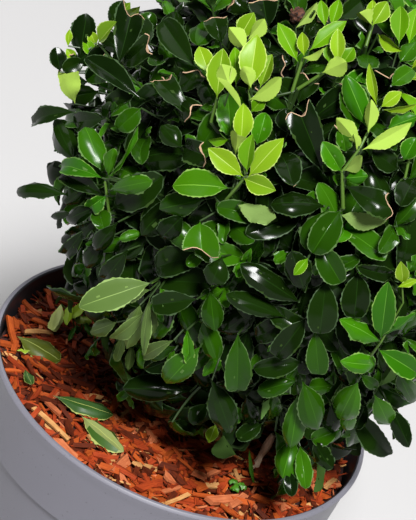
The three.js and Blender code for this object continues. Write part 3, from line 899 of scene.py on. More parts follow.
LEAF_SHINE = 0.11
UNDER_SHINE = 0.03
CUT_COLOUR = "#b39478"
CUT_GLOSS = 0.8


def leaf_finishes():
    """Every leaf colour as a plain finish, and where each tone's parts stand in the list."""
    materials = []
    places = {}

    def plain(name, code, gloss, shine=LEAF_SHINE):
        values = {"Base_Color": colour(code), "Roughness": gloss, "Specular_IOR_Level": shine}
        materials.append(Finish(name).surface(**values))
        return len(materials) - 1

    cut = plain("cut edge", CUT_COLOUR, CUT_GLOSS)
    for tone, (faces, rib, margin, under) in TONES.items():
        shared = {
            RIB: plain(tone + " rib", rib, GLOSS[tone]),
            MARGIN: plain(tone + " margin", margin, MARGIN_GLOSS),
            UNDER: plain(tone + " underside", under, UNDER_GLOSS, UNDER_SHINE),
            CUT: cut,
        }
        places[tone] = []
        for number, code in enumerate(faces):
            face = plain(f"{tone} leaf {number + 1}", code, GLOSS[tone])
            places[tone].append({**shared, FACE: face})
    return materials, places


# How each kind of shoot carries its pairs: distance back from the bud in mm, lean from the shoot in
# degrees, part of the full leaf length, tone
SHOOT_KINDS = {
    "mature": [
        (0.5, 18, 0.42, "mid"), (3.5, 40, 0.8, "deep"), (9, 60, 1, "dark"),
        (17, 75, 1, "dark"), (27, 87, 1, "dark"), (38, 95, 0.95, "shade"),
    ],
    "leafy": [
        (0.5, 18, 0.45, "bright"), (4, 40, 0.82, "mid"), (10, 60, 1, "deep"),
        (19, 75, 1, "dark"), (29, 87, 1, "dark"), (40, 95, 0.95, "shade"),
    ],
    "bright": [
        (0.5, 16, 0.4, "fresh"), (4, 38, 0.78, "bright"), (11, 60, 1, "bright"),
        (21, 78, 1, "deep"), (32, 88, 1, "dark"), (44, 95, 0.95, "shade"),
    ],
    "lime": [
        (0.5, 12, 0.42, "lime"), (4, 24, 0.78, "lime"), (12, 42, 0.95, "lime"),
        (22, 60, 0.98, "fresh"), (34, 78, 1, "bright"), (46, 92, 1, "dark"),
    ],
    "budding": [
        (0.5, 10, 0.36, "lime"), (2, 26, 0.5, "lime"), (8, 55, 0.7, "fresh"),
        (18, 78, 0.95, "dark"), (29, 88, 1, "dark"), (41, 95, 1, "shade"),
    ],
    "inner": [
        (1, 42, 0.9, "shade"), (9, 66, 1, "dark"), (19, 85, 1, "shade"), (30, 96, 1, "shade"),
    ],
}

# The leaves that catch the eye, as measured on the photo: foot x and y, tip x and y in pixels, breadth in
# mm, how far foot and tip lie from the crown's centre in mm, how far the face is turned from the lens and
# how much the blade bends in degrees, tone, and True for a clipped one
SEEN_LEAVES = [
    # The lime rosette in the middle and what lies round it
    (228, 188, 172, 183, 20, 158, 167, 12, 22, "vivid"), (244, 177, 207, 149, 14, 161, 172, 10, 12, "lime"),
    (248, 177, 284, 138, 15, 161, 175, -15, 12, "lime"), (243, 178, 276, 191, 13, 160, 165, 10, 20, "lime"),
    (241, 144, 243, 103, 13, 168, 177, 5, 18, "lime"), (243, 110, 217, 77, 8, 174, 186, 115, 10, "lime"),
    (235, 155, 238, 134, 14, 166, 182, 168, 40, "lime"), (257, 144, 267, 112, 13, 162, 168, 0, 25, "bright"),
    (247, 173, 251, 133, 12, 163, 176, -30, 15, "fresh"), (229, 139, 208, 140, 8, 162, 166, -40, 30, "fresh"),
    (229, 136, 221, 121, 6, 160, 164, 30, 20, "bright"), (206, 199, 158, 213, 17, 152, 156, 10, 30, "deep"),
    (184, 214, 160, 240, 16, 150, 152, 0, 30, "dark"), (200, 221, 201, 252, 24, 154, 158, 0, 30, "mid", True),
    (238, 205, 276, 220, 13, 154, 160, 162, 20, "pale"), (324, 206, 268, 203, 18, 150, 158, 25, 25, "dark"),
    (329, 208, 308, 253, 20, 153, 161, 0, 25, "deep"),
    (323, 173, 297, 112, 20, 150, 165, 10, 12, "dark", True),
    (307, 123, 346, 92, 17, 150, 160, 0, 20, "dark", True), (290, 135, 284, 108, 14, 148, 156, 0, 20, "dark"),
    # The two lime shoots up and left of it
    (209, 74, 200, 46, 12, 162, 170, 0, 10, "lime"), (217, 99, 222, 48, 16, 163, 178, -10, 12, "lime"),
    (230, 88, 221, 64, 14, 168, 178, 165, 20, "lime"), (236, 86, 234, 47, 11, 160, 168, 20, 10, "fresh"),
    (249, 90, 257, 34, 18, 166, 182, 0, 15, "lime"), (260, 88, 274, 55, 12, 164, 174, -20, 12, "lime"),
    (249, 100, 282, 79, 13, 168, 184, 140, 20, "lime"), (251, 112, 266, 96, 9, 162, 168, 0, 20, "fresh"),
    (251, 88, 243, 66, 11, 170, 181, 150, 15, "lime"), (238, 40, 255, 13, 13, 160, 172, -10, 10, "lime"),
    (248, 40, 264, 18, 11, 164, 175, 150, 15, "lime"), (246, 50, 228, 28, 12, 164, 176, 160, 15, "lime"),
    # The pair of lime shoots at the top
    (298, 62, 277, 23, 12, 162, 174, 10, 14, "fresh"), (309, 51, 347, 21, 12, 163, 176, -15, 12, "fresh"),
    (304, 56, 302, 32, 8, 165, 175, 0, 8, "lime"), (303, 58, 324, 49, 8, 166, 180, 120, 40, "lime"),
    (338, 64, 338, 28, 10, 164, 177, 0, 8, "lime"), (343, 64, 353, 47, 10, 162, 170, -10, 15, "fresh"),
    (322, 73, 346, 60, 13, 166, 178, 165, 25, "lime"), (329, 63, 330, 45, 8, 160, 166, 0, 10, "fresh"),
    # The tall cluster on the right
    (367, 127, 346, 74, 15, 164, 179, 0, 14, "bright"), (358, 130, 345, 88, 14, 157, 167, 10, 10, "deep"),
    (377, 106, 371, 63, 7, 172, 185, -30, 10, "lime"), (381, 107, 402, 92, 9, 172, 182, 0, 15, "lime"),
    (383, 110, 417, 105, 7, 170, 178, 60, 20, "lime"), (368, 133, 371, 99, 10, 170, 182, 158, 10, "lime"),
    (362, 150, 412, 122, 12, 167, 181, 150, 20, "lime"), (388, 128, 418, 115, 13, 164, 172, 0, 20, "bright"),
    (359, 146, 337, 117, 11, 168, 180, 160, 30, "lime"), (357, 150, 354, 134, 6, 166, 174, 140, 20, "lime"),
    (341, 171, 322, 141, 13, 160, 170, 10, 20, "bright"),
    (344, 171, 363, 157, 11, 162, 176, 150, 35, "fresh"), (345, 178, 369, 176, 11, 160, 168, 0, 25, "bright"),
    (345, 186, 390, 207, 17, 156, 165, 5, 20, "dark", True),
    (341, 215, 388, 222, 12, 152, 158, 163, 20, "pale"), (346, 152, 340, 128, 11, 160, 168, 20, 15, "mid"),
    (404, 160, 416, 137, 12, 160, 168, 0, 20, "bright"), (414, 178, 400, 207, 16, 150, 160, 0, 20, "dark"),
    (398, 170, 372, 150, 14, 150, 158, 0, 20, "dark"),
    # The lime shoots in the top corner
    (372, 25, 360, 12, 11, 166, 175, 160, 20, "lime"), (372, 26, 388, 2, 12, 166, 178, 0, 15, "lime"),
    (371, 22, 374, 0, 9, 164, 176, 20, 10, "lime"), (378, 34, 402, 52, 9, 164, 172, 20, 25, "lime"),
    (399, 45, 402, 6, 13, 160, 172, 0, 10, "fresh"), (409, 45, 415, 8, 12, 158, 168, 0, 10, "fresh"),
    (400, 62, 416, 42, 12, 157, 165, 0, 15, "mid"), (325, 27, 322, 0, 8, 160, 170, 0, 10, "fresh"),
    (331, 27, 341, 0, 9, 160, 172, 0, 10, "fresh"), (296, 28, 317, 2, 9, 158, 170, 130, 20, "fresh"),
    (338, 20, 362, 2, 14, 154, 162, 0, 15, "dark"), (391, 86, 412, 68, 12, 155, 163, 0, 15, "mid"),
    # The bright rosette low on the right
    (381, 338, 388, 281, 16, 163, 173, 0, 12, "bright"), (379, 341, 338, 322, 14, 163, 171, 15, 18, "bright"),
    (375, 364, 338, 359, 14, 160, 168, -10, 30, "bright"),
    (379, 350, 418, 372, 16, 163, 172, 0, 15, "bright"), (384, 335, 417, 313, 10, 164, 174, 50, 15, "bright"),
    (360, 374, 377, 388, 8, 156, 162, 0, 20, "deep"), (377, 388, 396, 364, 9, 155, 163, 165, 20, "mid"),
    (403, 284, 402, 261, 9, 168, 176, 0, 10, "lime"), (398, 287, 418, 280, 5, 168, 172, 0, 20, "lime"),
    (396, 274, 356, 267, 10, 156, 163, -20, 20, "dark"),
    # The glossy rosette on the left
    (102, 172, 86, 126, 18, 160, 171, 10, 20, "mid"), (102, 178, 60, 167, 13, 163, 171, 20, 25, "bright"),
    (109, 190, 153, 177, 13, 162, 168, 0, 25, "mid"), (109, 178, 136, 127, 7, 165, 178, 70, 10, "bright"),
    (108, 176, 112, 148, 9, 159, 167, 10, 10, "mid"), (106, 196, 88, 207, 12, 160, 165, -10, 30, "bright"),
    (98, 208, 105, 231, 14, 156, 161, 0, 20, "deep"), (76, 164, 53, 118, 19, 166, 174, 0, 20, "dark"),
    (104, 196, 63, 170, 14, 157, 163, 0, 25, "dark"), (112, 208, 165, 178, 22, 153, 160, 0, 20, "dark"),
    (68, 195, 12, 193, 12, 170, 188, 25, 35, "dark"), (75, 112, 31, 121, 12, 172, 184, 20, 35, "dark"),
    # The clipped leaves and small lime buds of the top left
    (118, 66, 132, 16, 20, 168, 176, 0, 12, "dark", True),
    (122, 66, 150, 40, 14, 169, 176, 10, 20, "dark", True), (80, 58, 86, 13, 18, 166, 174, 0, 12, "dark"),
    (60, 72, 56, 47, 12, 168, 174, 0, 15, "dark"), (76, 71, 68, 57, 12, 172, 176, 0, 15, "dark", True),
    (140, 98, 83, 58, 16, 160, 172, 20, 25, "dark"), (125, 88, 103, 67, 14, 167, 173, 0, 20, "mid", True),
    (106, 118, 73, 122, 14, 160, 168, 0, 30, "dark"), (141, 108, 117, 130, 14, 159, 165, 0, 30, "deep"),
    (75, 104, 66, 70, 16, 172, 180, 165, 10, "lime", True), (195, 66, 160, 22, 18, 158, 168, 0, 15, "dark"),
    (192, 122, 156, 88, 14, 152, 164, 30, 30, "dark", True),
    (182, 148, 161, 124, 14, 150, 158, 0, 25, "dark"), (98, 43, 117, 22, 12, 186, 192, -30, 10, "lime"),
    (96, 46, 90, 31, 8, 173, 180, 0, 10, "lime"), (94, 58, 84, 38, 9, 168, 174, 10, 20, "fresh"),
    (112, 50, 90, 62, 15, 154, 160, 0, 20, "dark"), (100, 44, 76, 64, 14, 152, 158, 10, 25, "dark"),
    (140, 66, 112, 60, 16, 152, 158, 0, 25, "dark"), (84, 60, 62, 70, 13, 158, 164, -10, 25, "dark"),
    (140, 40, 152, 12, 14, 152, 160, 0, 20, "deep"), (168, 40, 176, 10, 16, 150, 160, 0, 20, "dark"),
    (120, 17, 130, 2, 9, 172, 178, 0, 15, "lime"), (129, 16, 140, 6, 8, 172, 178, 0, 15, "lime"),
    (68, 46, 69, 29, 5, 172, 178, 0, 10, "lime"), (76, 60, 66, 49, 7, 170, 176, 0, 10, "lime"),
    # Clipped leaves behind the lime shoots
    (222, 44, 215, 20, 16, 150, 160, 0, 15, "dark", True),
    (268, 30, 264, 3, 20, 150, 160, 0, 15, "dark", True),
    (303, 42, 318, 20, 12, 150, 158, 0, 15, "dark", True),
    (262, 70, 285, 66, 15, 148, 156, 0, 20, "dark", True),
    (180, 92, 197, 70, 14, 150, 158, 0, 20, "dark", True),
    (170, 98, 196, 112, 16, 152, 158, 0, 25, "dark", True),
    (182, 146, 207, 157, 16, 152, 158, 0, 20, "dark", True),
    (298, 104, 308, 78, 16, 147, 155, 0, 15, "dark", True),
    (330, 150, 344, 128, 12, 150, 158, 0, 20, "dark", True),
    (250, 12, 232, 2, 14, 150, 158, 0, 20, "dark", True),
    # Dark leaves between and behind them
    (72, 214, 51, 215, 6, 168, 176, 20, 15, "dark"), (98, 206, 66, 222, 12, 160, 170, 10, 30, "dark"),
    (100, 218, 70, 236, 12, 160, 168, -10, 30, "dark"), (86, 228, 65, 256, 11, 164, 172, 0, 30, "dark"),
    (118, 222, 92, 252, 13, 158, 166, 0, 40, "dark"), (88, 186, 64, 206, 14, 163, 170, 0, 25, "dark"),
    (110, 28, 124, 0, 14, 156, 166, 0, 15, "dark"), (114, 74, 84, 76, 15, 152, 160, 10, 25, "deep"),
    (106, 62, 90, 84, 15, 150, 158, 0, 25, "dark"), (98, 92, 72, 96, 16, 156, 163, 0, 25, "dark"),
    (88, 82, 62, 84, 14, 160, 168, 20, 20, "dark"), (122, 52, 102, 34, 13, 156, 163, 0, 15, "dark"),
    (98, 106, 68, 110, 14, 158, 165, -15, 25, "dark"), (92, 140, 60, 150, 17, 158, 166, 0, 20, "dark"),
    (96, 128, 66, 118, 15, 158, 165, 15, 20, "deep"), (150, 44, 138, 20, 14, 152, 160, 0, 15, "dark"),
    (104, 240, 84, 268, 14, 158, 166, 0, 30, "dark"), (128, 250, 104, 280, 14, 154, 162, 0, 30, "dark"),
    # The pale shoot over the mulch
    (150, 283, 79, 311, 20, 160, 171, 15, 22, "pale"), (117, 322, 90, 333, 12, 158, 164, 0, 20, "pale"),
    (140, 305, 129, 351, 14, 156, 164, 20, 15, "pale"), (150, 297, 144, 356, 9, 160, 167, 40, 10, "pale"),
    (124, 332, 117, 362, 7, 156, 160, 0, 15, "pale"), (150, 290, 108, 302, 12, 156, 163, 20, 20, "pale"),
    (144, 312, 112, 340, 11, 158, 163, -20, 20, "pale"), (152, 308, 150, 340, 10, 158, 163, 10, 20, "pale"),
    (160, 288, 176, 312, 9, 156, 160, 0, 20, "mid"), (132, 345, 129, 371, 7, 154, 160, 0, 15, "pale"),
    (197, 299, 152, 306, 16, 157, 164, 0, 20, "dark"), (200, 347, 165, 385, 19, 156, 164, 0, 25, "mid"),
    (187, 330, 190, 364, 8, 156, 162, 0, 10, "bright"), (174, 340, 142, 355, 10, 153, 159, 0, 15, "pale"),
    (190, 392, 122, 385, 20, 152, 161, 0, 15, "dark"), (212, 380, 231, 435, 20, 158, 167, 0, 30, "dark"),
    (216, 424, 209, 443, 9, 163, 168, 0, 15, "lime"),
    # The dark leaves that hang on the lower front
    (299, 302, 237, 266, 17, 150, 159, 10, 25, "dark"), (286, 318, 226, 290, 14, 147, 154, 0, 25, "dark"),
    (222, 256, 210, 292, 17, 152, 161, 0, 60, "dark"), (210, 290, 214, 332, 15, 150, 158, 0, 15, "deep"),
    (203, 318, 215, 362, 15, 147, 155, 0, 15, "deep"), (238, 334, 238, 391, 18, 150, 161, 0, 20, "deep"),
    (305, 292, 290, 250, 18, 153, 160, 0, 30, "dark"), (308, 258, 294, 276, 7, 163, 168, 0, 40, "fresh"),
    (318, 244, 341, 284, 17, 154, 162, 0, 25, "deep"), (340, 211, 309, 253, 19, 157, 164, 0, 25, "deep"),
    (326, 280, 320, 335, 20, 150, 160, 0, 20, "dark"), (358, 272, 356, 319, 19, 154, 162, 0, 20, "dark"),
    (306, 318, 277, 359, 16, 152, 159, 0, 20, "dark"), (315, 330, 318, 375, 15, 152, 160, 0, 15, "deep"),
    (302, 362, 253, 371, 14, 150, 158, 0, 20, "dark"), (358, 382, 338, 420, 20, 159, 167, 0, 30, "mid"),
    (334, 385, 308, 388, 12, 151, 156, 0, 20, "deep"), (302, 380, 322, 430, 20, 155, 163, 0, 25, "deep"),
    (298, 394, 293, 449, 16, 155, 163, 0, 20, "mid"), (290, 394, 259, 422, 9, 157, 163, 110, 50, "mid"),
    (374, 394, 390, 425, 15, 161, 167, 0, 20, "mid"), (391, 408, 411, 447, 13, 168, 178, 0, 20, "dark"),
    # The lowest ones, just clear of the mulch
    (294, 438, 280, 479, 20, 160, 167, 0, 25, "mid"), (300, 446, 304, 490, 12, 161, 168, -10, 20, "mid"),
    (289, 470, 292, 497, 10, 164, 170, 0, 20, "dark"), (338, 430, 312, 442, 13, 162, 167, 0, 25, "deep"),
    (314, 440, 334, 470, 13, 162, 170, 20, 30, "dark"), (262, 424, 236, 438, 12, 158, 164, 0, 25, "dark"),
    (353, 396, 346, 432, 11, 160, 167, 0, 25, "mid"), (398, 372, 412, 404, 14, 160, 168, 0, 20, "deep"),
    (296, 381, 256, 391, 13, 152, 158, 0, 25, "deep"), (225, 404, 242, 420, 10, 158, 163, 0, 15, "bright"),
    (318, 414, 308, 440, 12, 156, 162, 0, 25, "dark"), (332, 404, 330, 434, 14, 154, 160, 0, 25, "dark"),
    (366, 404, 356, 430, 12, 156, 162, 10, 25, "dark"), (246, 396, 252, 426, 13, 152, 158, 0, 20, "dark"),
    (276, 392, 268, 420, 14, 150, 155, 0, 20, "deep"), (206, 404, 190, 424, 12, 152, 158, 0, 25, "dark"),
]
# Where the photo shows bare mulch or the tan stem, and nothing grows in front: x, y and radius in pixels
OPEN_PLACES = [
    (15, 300, 30), (25, 350, 45), (76, 334, 18), (60, 400, 48), (98, 372, 14), (90, 445, 52), (140, 462, 46),
    (185, 482, 38), (235, 512, 26), (290, 522, 26), (340, 500, 20), (258, 460, 10), (264, 447, 9),
    (271, 434, 8), (214, 478, 20),
]
# The stalks between them: from and to in pixels with the distance from the crown's centre, radius in mm
SEEN_STALKS = [
    (226, 200, 148, 246, 176, 160, 1.5), (246, 176, 160, 240, 146, 167, 1.2),
    (211, 122, 150, 217, 98, 163, 1.5), (252, 114, 156, 249, 90, 166, 1.5), (232, 56, 152, 243, 44, 163, 1.4),
    (292, 92, 150, 303, 58, 165, 1.7), (298, 89, 154, 323, 73, 165, 1.7), (323, 73, 165, 341, 63, 164, 1.3),
    (343, 208, 148, 342, 172, 160, 1.8), (342, 172, 160, 360, 148, 167, 1.5),
    (360, 148, 167, 380, 108, 171, 1.2), (366, 46, 156, 373, 24, 166, 1.6),
    (369, 358, 156, 381, 342, 163, 1.4), (381, 342, 163, 403, 303, 166, 1), (403, 303, 166, 402, 284, 168, 1),
    (109, 213, 154, 105, 182, 163, 1.5), (97, 64, 160, 96, 43, 168, 1.4), (162, 277, 140, 152, 283, 158, 1),
    (405, 178, 154, 412, 146, 162, 1.3),
]
KIND_SHARES = [("mature", 0.52), ("leafy", 0.27), ("bright", 0.09), ("lime", 0.06), ("budding", 0.06)]
# What grows in front, behind the leaves above, and low on the ball
PLAIN_KINDS = ["mature", "mature", "leafy"]
# How a leaf that has no room is tried again: part of its lean, part of its length, turn in degrees
LEAF_TRIES = [(1, 1, 0), (0.88, 1, 16), (1.06, 1, -16), (0.8, 0.92, 30), (0.7, 0.85, -30), (0.55, 0.8, 0)]
SIDE_SEED = 10
TOP_SEED = 30
MOST_LEAVES = 14
FEWEST_LEAVES = 2

# How a leaf sits on its shoot. Low on the ball it sags and turns its face more to the light
SPIN_SHAKE = 12
LEAN_RANGE = (0.9, 1.1)
LENGTH_RANGE = (0.88, 1.1)
LOW_FROM = 0.5
LOW_OVER = 0.9
SAG = 0.65
SAG_RANGE = (0.5, 1.5)
LIGHT_UP = 0.55
LIGHT_UP_LESS = 0.1
LIGHT_OUT = 0.6
TURNED = 0.35
TURNED_MORE = 0.4
FARTHEST_IN = -0.45
# Which leaves the shears met, and where they cut them. One number is drawn for whether, where and how slanted
CLIPPED_TONES = ("dark", "deep")
CLIPPED_ZONE = 20
CLIPPED_ON_TOP = 0.14
CLIPPED_BELOW = 0.01
TOP_FROM = 0.5
CUT_FROM = 0.62
CUT_SLANT = 0.3
CUT_MIX = 40
# How the leaves of the photo differ from the others
SEEN_BEND = (1.3, 2.4)
SEEN_SWEEP = 0.5
SEEN_TWIST = 0.6
SEEN_CUT = 0.68
SEEN_SLANT = 0.12
SEEN_CUT_WAVE = 1.6
SHOWN_BREADTH = 0.8

# Twigs and stalks
YOUNG_STALK, GREEN_STALK, SHADED_STALK, SHADED_TWIG_BARK = range(4)
STALK_FINISHES = {"lime": YOUNG_STALK, "bright": YOUNG_STALK, "budding": YOUNG_STALK, "inner": SHADED_STALK}
STALK_WIDTH = 0.75
STALK_PAST = 2 * MM
TWIG_BEND = 0.3
OVER_COST = 5
STALK_SIDES = 8
TWIG_SIDES = 6
BRANCH_SIDES = 7


def ball_round(points):
    """The middle of a blade, and how far the blade reaches from there."""
    middle = points.mean(axis=0)
    return middle, np.linalg.norm(points - middle, axis=1).max()


class Crowd:
    """Every blade placed so far, to keep a new one from cutting through them or from hiding what shows."""

    def __init__(self, room):
        self.middles = np.zeros((room, 3))
        self.reaches = np.zeros(room)
        self.trees = []
        self.seen = np.array([(x, y, CAMERA_DISTANCE * 2, radius) for x, y, radius in OPEN_PLACES])

    def add(self, points, tree):
        count = len(self.trees)
        self.middles[count], self.reaches[count] = ball_round(points)
        self.trees.append(tree)

    def show(self, points, breadth):
        """Notes where a leaf of the photo shows, so that nothing grows in front of it."""
        spots = np.column_stack([pixels(points), np.full(len(points), breadth)])
        self.seen = np.concatenate([self.seen, spots])

    def hides(self, points):
        """True if a blade stands before a leaf or an open place that the photo shows."""
        spots = pixels(points)
        right, low, _ = spots.max(axis=0)
        if max(-right, spots[:, 0].min() - PHOTO_WIDTH, -low) > FRAME_EDGE:
            return False
        off = np.hypot(spots[:, None, 0] - self.seen[:, 0], spots[:, None, 1] - self.seen[:, 1])
        return bool(np.any((off < self.seen[:, 3]) & (spots[:, None, 2] < self.seen[:, 2])))

    def cuts(self, points, tree):
        """True if a blade goes through one that is there."""
        middle, reach = ball_round(points)
        count = len(self.trees)
        far = np.linalg.norm(self.middles[:count] - middle, axis=1)
        near = np.nonzero(far < self.reaches[:count] + reach)[0]
        return any(tree.overlap(self.trees[index]) for index in near)


ROUGH_FACES = [
    (row * 3 + column, row * 3 + column + 1, row * 3 + column + 4, row * 3 + column + 3)
    for row in range(len(ROUGH_STATIONS) - 1) for column in range(2)
]


def rough_tree(points):
    return BVHTree.FromPolygons(points.tolist(), ROUGH_FACES)


def clear_of_pot(points):
    """True if a blade stays above the mulch and off the pot's rim."""
    if points[:, 2].min() < LOWEST_TIP:
        return False
    radius = np.hypot(points[:, 0], points[:, 1])
    return not np.any((points[:, 2] < POT_HEIGHT + OVER_RIM) & (radius > RIM_RADIUS - INSIDE_RIM))


def evenly_spread(aims, spacing):
    """Pushes directions that crowd each other apart over the ball."""
    points = np.array([tuple(aim) for aim in aims])
    for _ in range(SPREAD_ROUNDS):
        off = points[:, None, :] - points[None, :, :]
        far = np.linalg.norm(off, axis=2) + np.eye(len(points))
        push = np.clip(spacing - far, 0, None) / far
        push = push - np.diag(np.diag(push))
        points = points + (off * push[:, :, None]).sum(axis=1) * SPREAD_STEP
        points /= np.linalg.norm(points, axis=1)[:, None]
    return [Vector(point) for point in points]


def shoot_axis(out, elevation, rise):
    """The way a shoot points: outwards and up, but a little down where it hangs under the ball."""
    if elevation <= rad(HANGS_BELOW):
        rise = -HANG
    return (out + UP * rise).normalized()


class Shoot:
    """A shoot that bends from its neck out to its bud."""

    def __init__(self, mass, neck, out, bud_reach, kind, turn):
        self.mass = mass
        self.kind = kind
        self.turn = turn
        self.out = out
        self.axis = shoot_axis(out, angles(out)[1], FINE_RISE)
        bud = CROWN_CENTRE + out * bud_reach
        bend = bud - self.axis * (bud - neck).length * SHOOT_BEND
        steps = [step / SHOOT_STEPS for step in range(SHOOT_STEPS + 1)]
        self.path = [neck * (1 - s) ** 2 + bend * 2 * s * (1 - s) + bud * s * s for s in steps]

    def back(self, distance):
        """The point that far back from the bud, and the shoot's direction there."""
        left = distance
        for low, high in zip(reversed(self.path[:-1]), reversed(self.path[1:])):
            length = (high - low).length
            if left <= length:
                return high + (low - high) * (left / length), (high - low).normalized()
            left -= length
        return self.path[0], (self.path[1] - self.path[0]).normalized()


def no_longer(foot, tip, longest):
    """The tip, slid along its line of sight until the leaf is no longer than this."""
    if (tip - foot).length <= longest:
        return tip
    sight = (tip - EYE).normalized()
    nearest = EYE + sight * (foot - EYE).dot(sight)
    slide = math.sqrt(max(0, longest ** 2 - (nearest - foot).length_squared))
    return nearest + sight * math.copysign(slide, (tip - nearest).dot(sight))


def seen_leaf(chance, foot, tip, breadth, roll, bend, tone, clipped):
    """A leaf of the photo, laid from its foot to its tip with its face turned from the lens by roll."""
    along = (tip - foot).normalized()
    to_eye = (EYE - foot).normalized()
    face = rotation(roll, along) @ (to_eye - along * to_eye.dot(along)).normalized()
    if tone not in YOUNG:
        bend *= chance.uniform(*SEEN_BEND)
    rise = rad(bend) / BEND_TO_RISE
    start = along * math.cos(rise) + face * math.sin(rise)
    face = face * math.cos(rise) - along * math.sin(rise)
    leaf = Leaf(chance, foot, start, face, (tip - foot).length, tone)
    leaf.width = breadth * MM / math.cos(leaf.fold)
    leaf.bend = rad(bend)
    leaf.sweep *= SEEN_SWEEP
    leaf.twist *= SEEN_TWIST
    if clipped:
        leaf.length /= SEEN_CUT
        leaf.wave *= SEEN_CUT_WAVE
        leaf.cut = (SEEN_CUT, chance.uniform(-SEEN_SLANT, SEEN_SLANT))
    return leaf


def shoot_leaves(shoot, chance, crowd):
    """The leaves of one shoot, in crossed pairs back from its bud, each where it has room."""
    leaves = []
    flat = shoot.axis.cross(UP).normalized()
    low = max(0, min(1, (LOW_FROM - shoot.out.z) / LOW_OVER))
    toward_light = (UP * (LIGHT_UP - LIGHT_UP_LESS * low) + shoot.out * LIGHT_OUT).normalized()
    turned = TURNED + TURNED_MORE * low
    clipped = CLIPPED_ON_TOP if shoot.out.z > TOP_FROM else CLIPPED_BELOW
    for pair, (back, lean, size, tone) in enumerate(SHOOT_KINDS[shoot.kind]):
        root, axis = shoot.back(back * MM)
        for side in (0, 1):
            shake = chance.uniform(-SPIN_SHAKE, SPIN_SHAKE)
            spin = shoot.turn + pair * math.pi / 2 + side * math.pi + rad(shake)
            tilt = rad(lean * chance.uniform(*LEAN_RANGE))
            length = LEAF_LENGTH * size * chance.uniform(*LENGTH_RANGE)
            clip = chance.random()
            sag = chance.uniform(*SAG_RANGE)
            shape = chance.randrange(LEAF_SEEDS)
            for ease, part, shift in LEAF_TRIES:
                away = Matrix.Rotation(spin + rad(shift), 3, axis) @ flat
                away = (away - axis * away.dot(axis)).normalized()
                along = axis * math.cos(tilt * ease) + away * math.sin(tilt * ease)
                if along.dot(shoot.out) < FARTHEST_IN and shoot.kind != "inner":
                    continue
                face = axis * math.sin(tilt * ease) - away * math.cos(tilt * ease)
                face = face * (1 - turned) + toward_light * turned
                along = (along - UP * SAG * low * sag).normalized()
                leaf = Leaf(random.Random(shape), root, along, face, length * part, tone)
                if tone in CLIPPED_TONES and back < CLIPPED_ZONE and clip < clipped:
                    leaf.cut = (CUT_FROM + clip, CUT_SLANT * (clip * CUT_MIX % 1 - 0.5))
                points = leaf.rough()
                if not clear_of_pot(points) or crowd.hides(points):
                    continue
                tree = rough_tree(points)
                if crowd.cuts(points, tree):
                    continue
                leaves.append(leaf)
                crowd.add(points, tree)
                break
    return leaves


def crown_branches():
    """The branches from each limb's end to the necks of its shoots, and what is known at each neck."""
    trunk = trunk_curve()
    carriers = [bough_curve(trunk, sector) for sector in range(BOUGH_COUNT)] + [leader_curve(trunk)]
    branches = []
    anchors = []
    for mass, (carrier, sites) in enumerate(zip(carriers, shared_sites())):
        draw = seeded_random(SEED + (TOP_SEED if mass == BOUGH_COUNT else SIDE_SEED + mass))
        start = carrier.at(1)
        heart = start + carrier.tangent(1) * STEM_LENGTH
        branches.append((start, heart, STEM_RADIUS, STEM_RADIUS * 0.9))
        ends = []
        for site in sites:
            out = direction(site["azimuth"], site["elevation"])
            axis = shoot_axis(out, site["elevation"], SHOOT_RISE)
            neck = CROWN_CENTRE + out * site["reach"] - axis * (SPRAY_LENGTH + SHOOT_LENGTH)
            ends.append({"mass": mass, "out": out, "neck": neck, "turn": draw() * math.pi, **site})
        for first in range(0, len(ends), SHOOTS_PER_FORK):
            few = ends[first:first + SHOOTS_PER_FORK]
            middle = sum((end["neck"] for end in few), Vector()) / len(few)
            fork = heart.lerp(middle, FORK_PLACE)
            branches.append((heart, fork, FORK_RADIUS, TWIG_RADIUS))
            branches += [(fork, end["neck"], TWIG_RADIUS, TWIG_RADIUS * 0.8) for end in few]
        anchors += ends
    return anchors, branches


def crown_shoots(anchors):
    """Every shoot of the crown: the fine ones, spread evenly, and the inner ones that fill its depth."""
    chance = random.Random(SEED)
    shoots = []
    aims = []
    owners = []
    for anchor in anchors:
        east = anchor["out"].cross(UP).normalized()
        north = anchor["out"].cross(east)
        for fine in range(FINE_PER_SHOOT):
            angle = anchor["turn"] + fine * 2 * math.pi / FINE_PER_SHOOT
            aside = (east * math.cos(angle) + north * math.sin(angle)) * (FINE_SPREAD / CROWN_RADIUS)
            aims.append((anchor["out"] + aside).normalized())
            owners.append(anchor)
    kinds, weights = zip(*KIND_SHARES)
    for aim, owner in zip(evenly_spread(aims, FINE_SPACING / CROWN_RADIUS), owners):
        azimuth, elevation = angles(aim)
        reach = crown_reach(azimuth, elevation) * owner["shrink"] * chance.uniform(*FINE_REACH)
        kind = chance.choices(kinds, weights)[0]
        x, y, _ = pixels(np.array([CROWN_CENTRE + aim * CROWN_RADIUS]))[0]
        front = aim.dot(EYE - CROWN_CENTRE) > FRONT_FACING and 0 < x < PHOTO_WIDTH and y > 0
        if front or elevation < rad(PLAIN_BELOW):
            kind = chance.choice(PLAIN_KINDS)
        extra = LIME_LIFT if kind == "lime" else -FRONT_DEPTH if front else 0
        turn = chance.uniform(0, math.pi)
        shoots.append(Shoot(owner["mass"], owner["neck"], aim, reach - BUD_DEPTH + extra, kind, turn))
    for anchor in anchors:
        low = anchor["elevation"] < rad(SKIRT_BELOW)
        for _ in range(INNER_PER_SHOOT + (SKIRT_INNER_MORE if low else 0)):
            aside = Vector([chance.uniform(-1, 1) for _ in range(3)]) * INNER_ASIDE
            aim = (anchor["out"] + aside).normalized()
            depth = INNER_DEPTH * chance.uniform(*(SKIRT_INNER_RANGE if low else INNER_RANGE))
            neck = anchor["neck"].lerp(CROWN_CENTRE, INNER_NECK)
            turn = chance.uniform(0, math.pi)
            shoots.append(Shoot(anchor["mass"], neck, aim, crown_reach(*angles(aim)) - depth, "inner", turn))
    return shoots


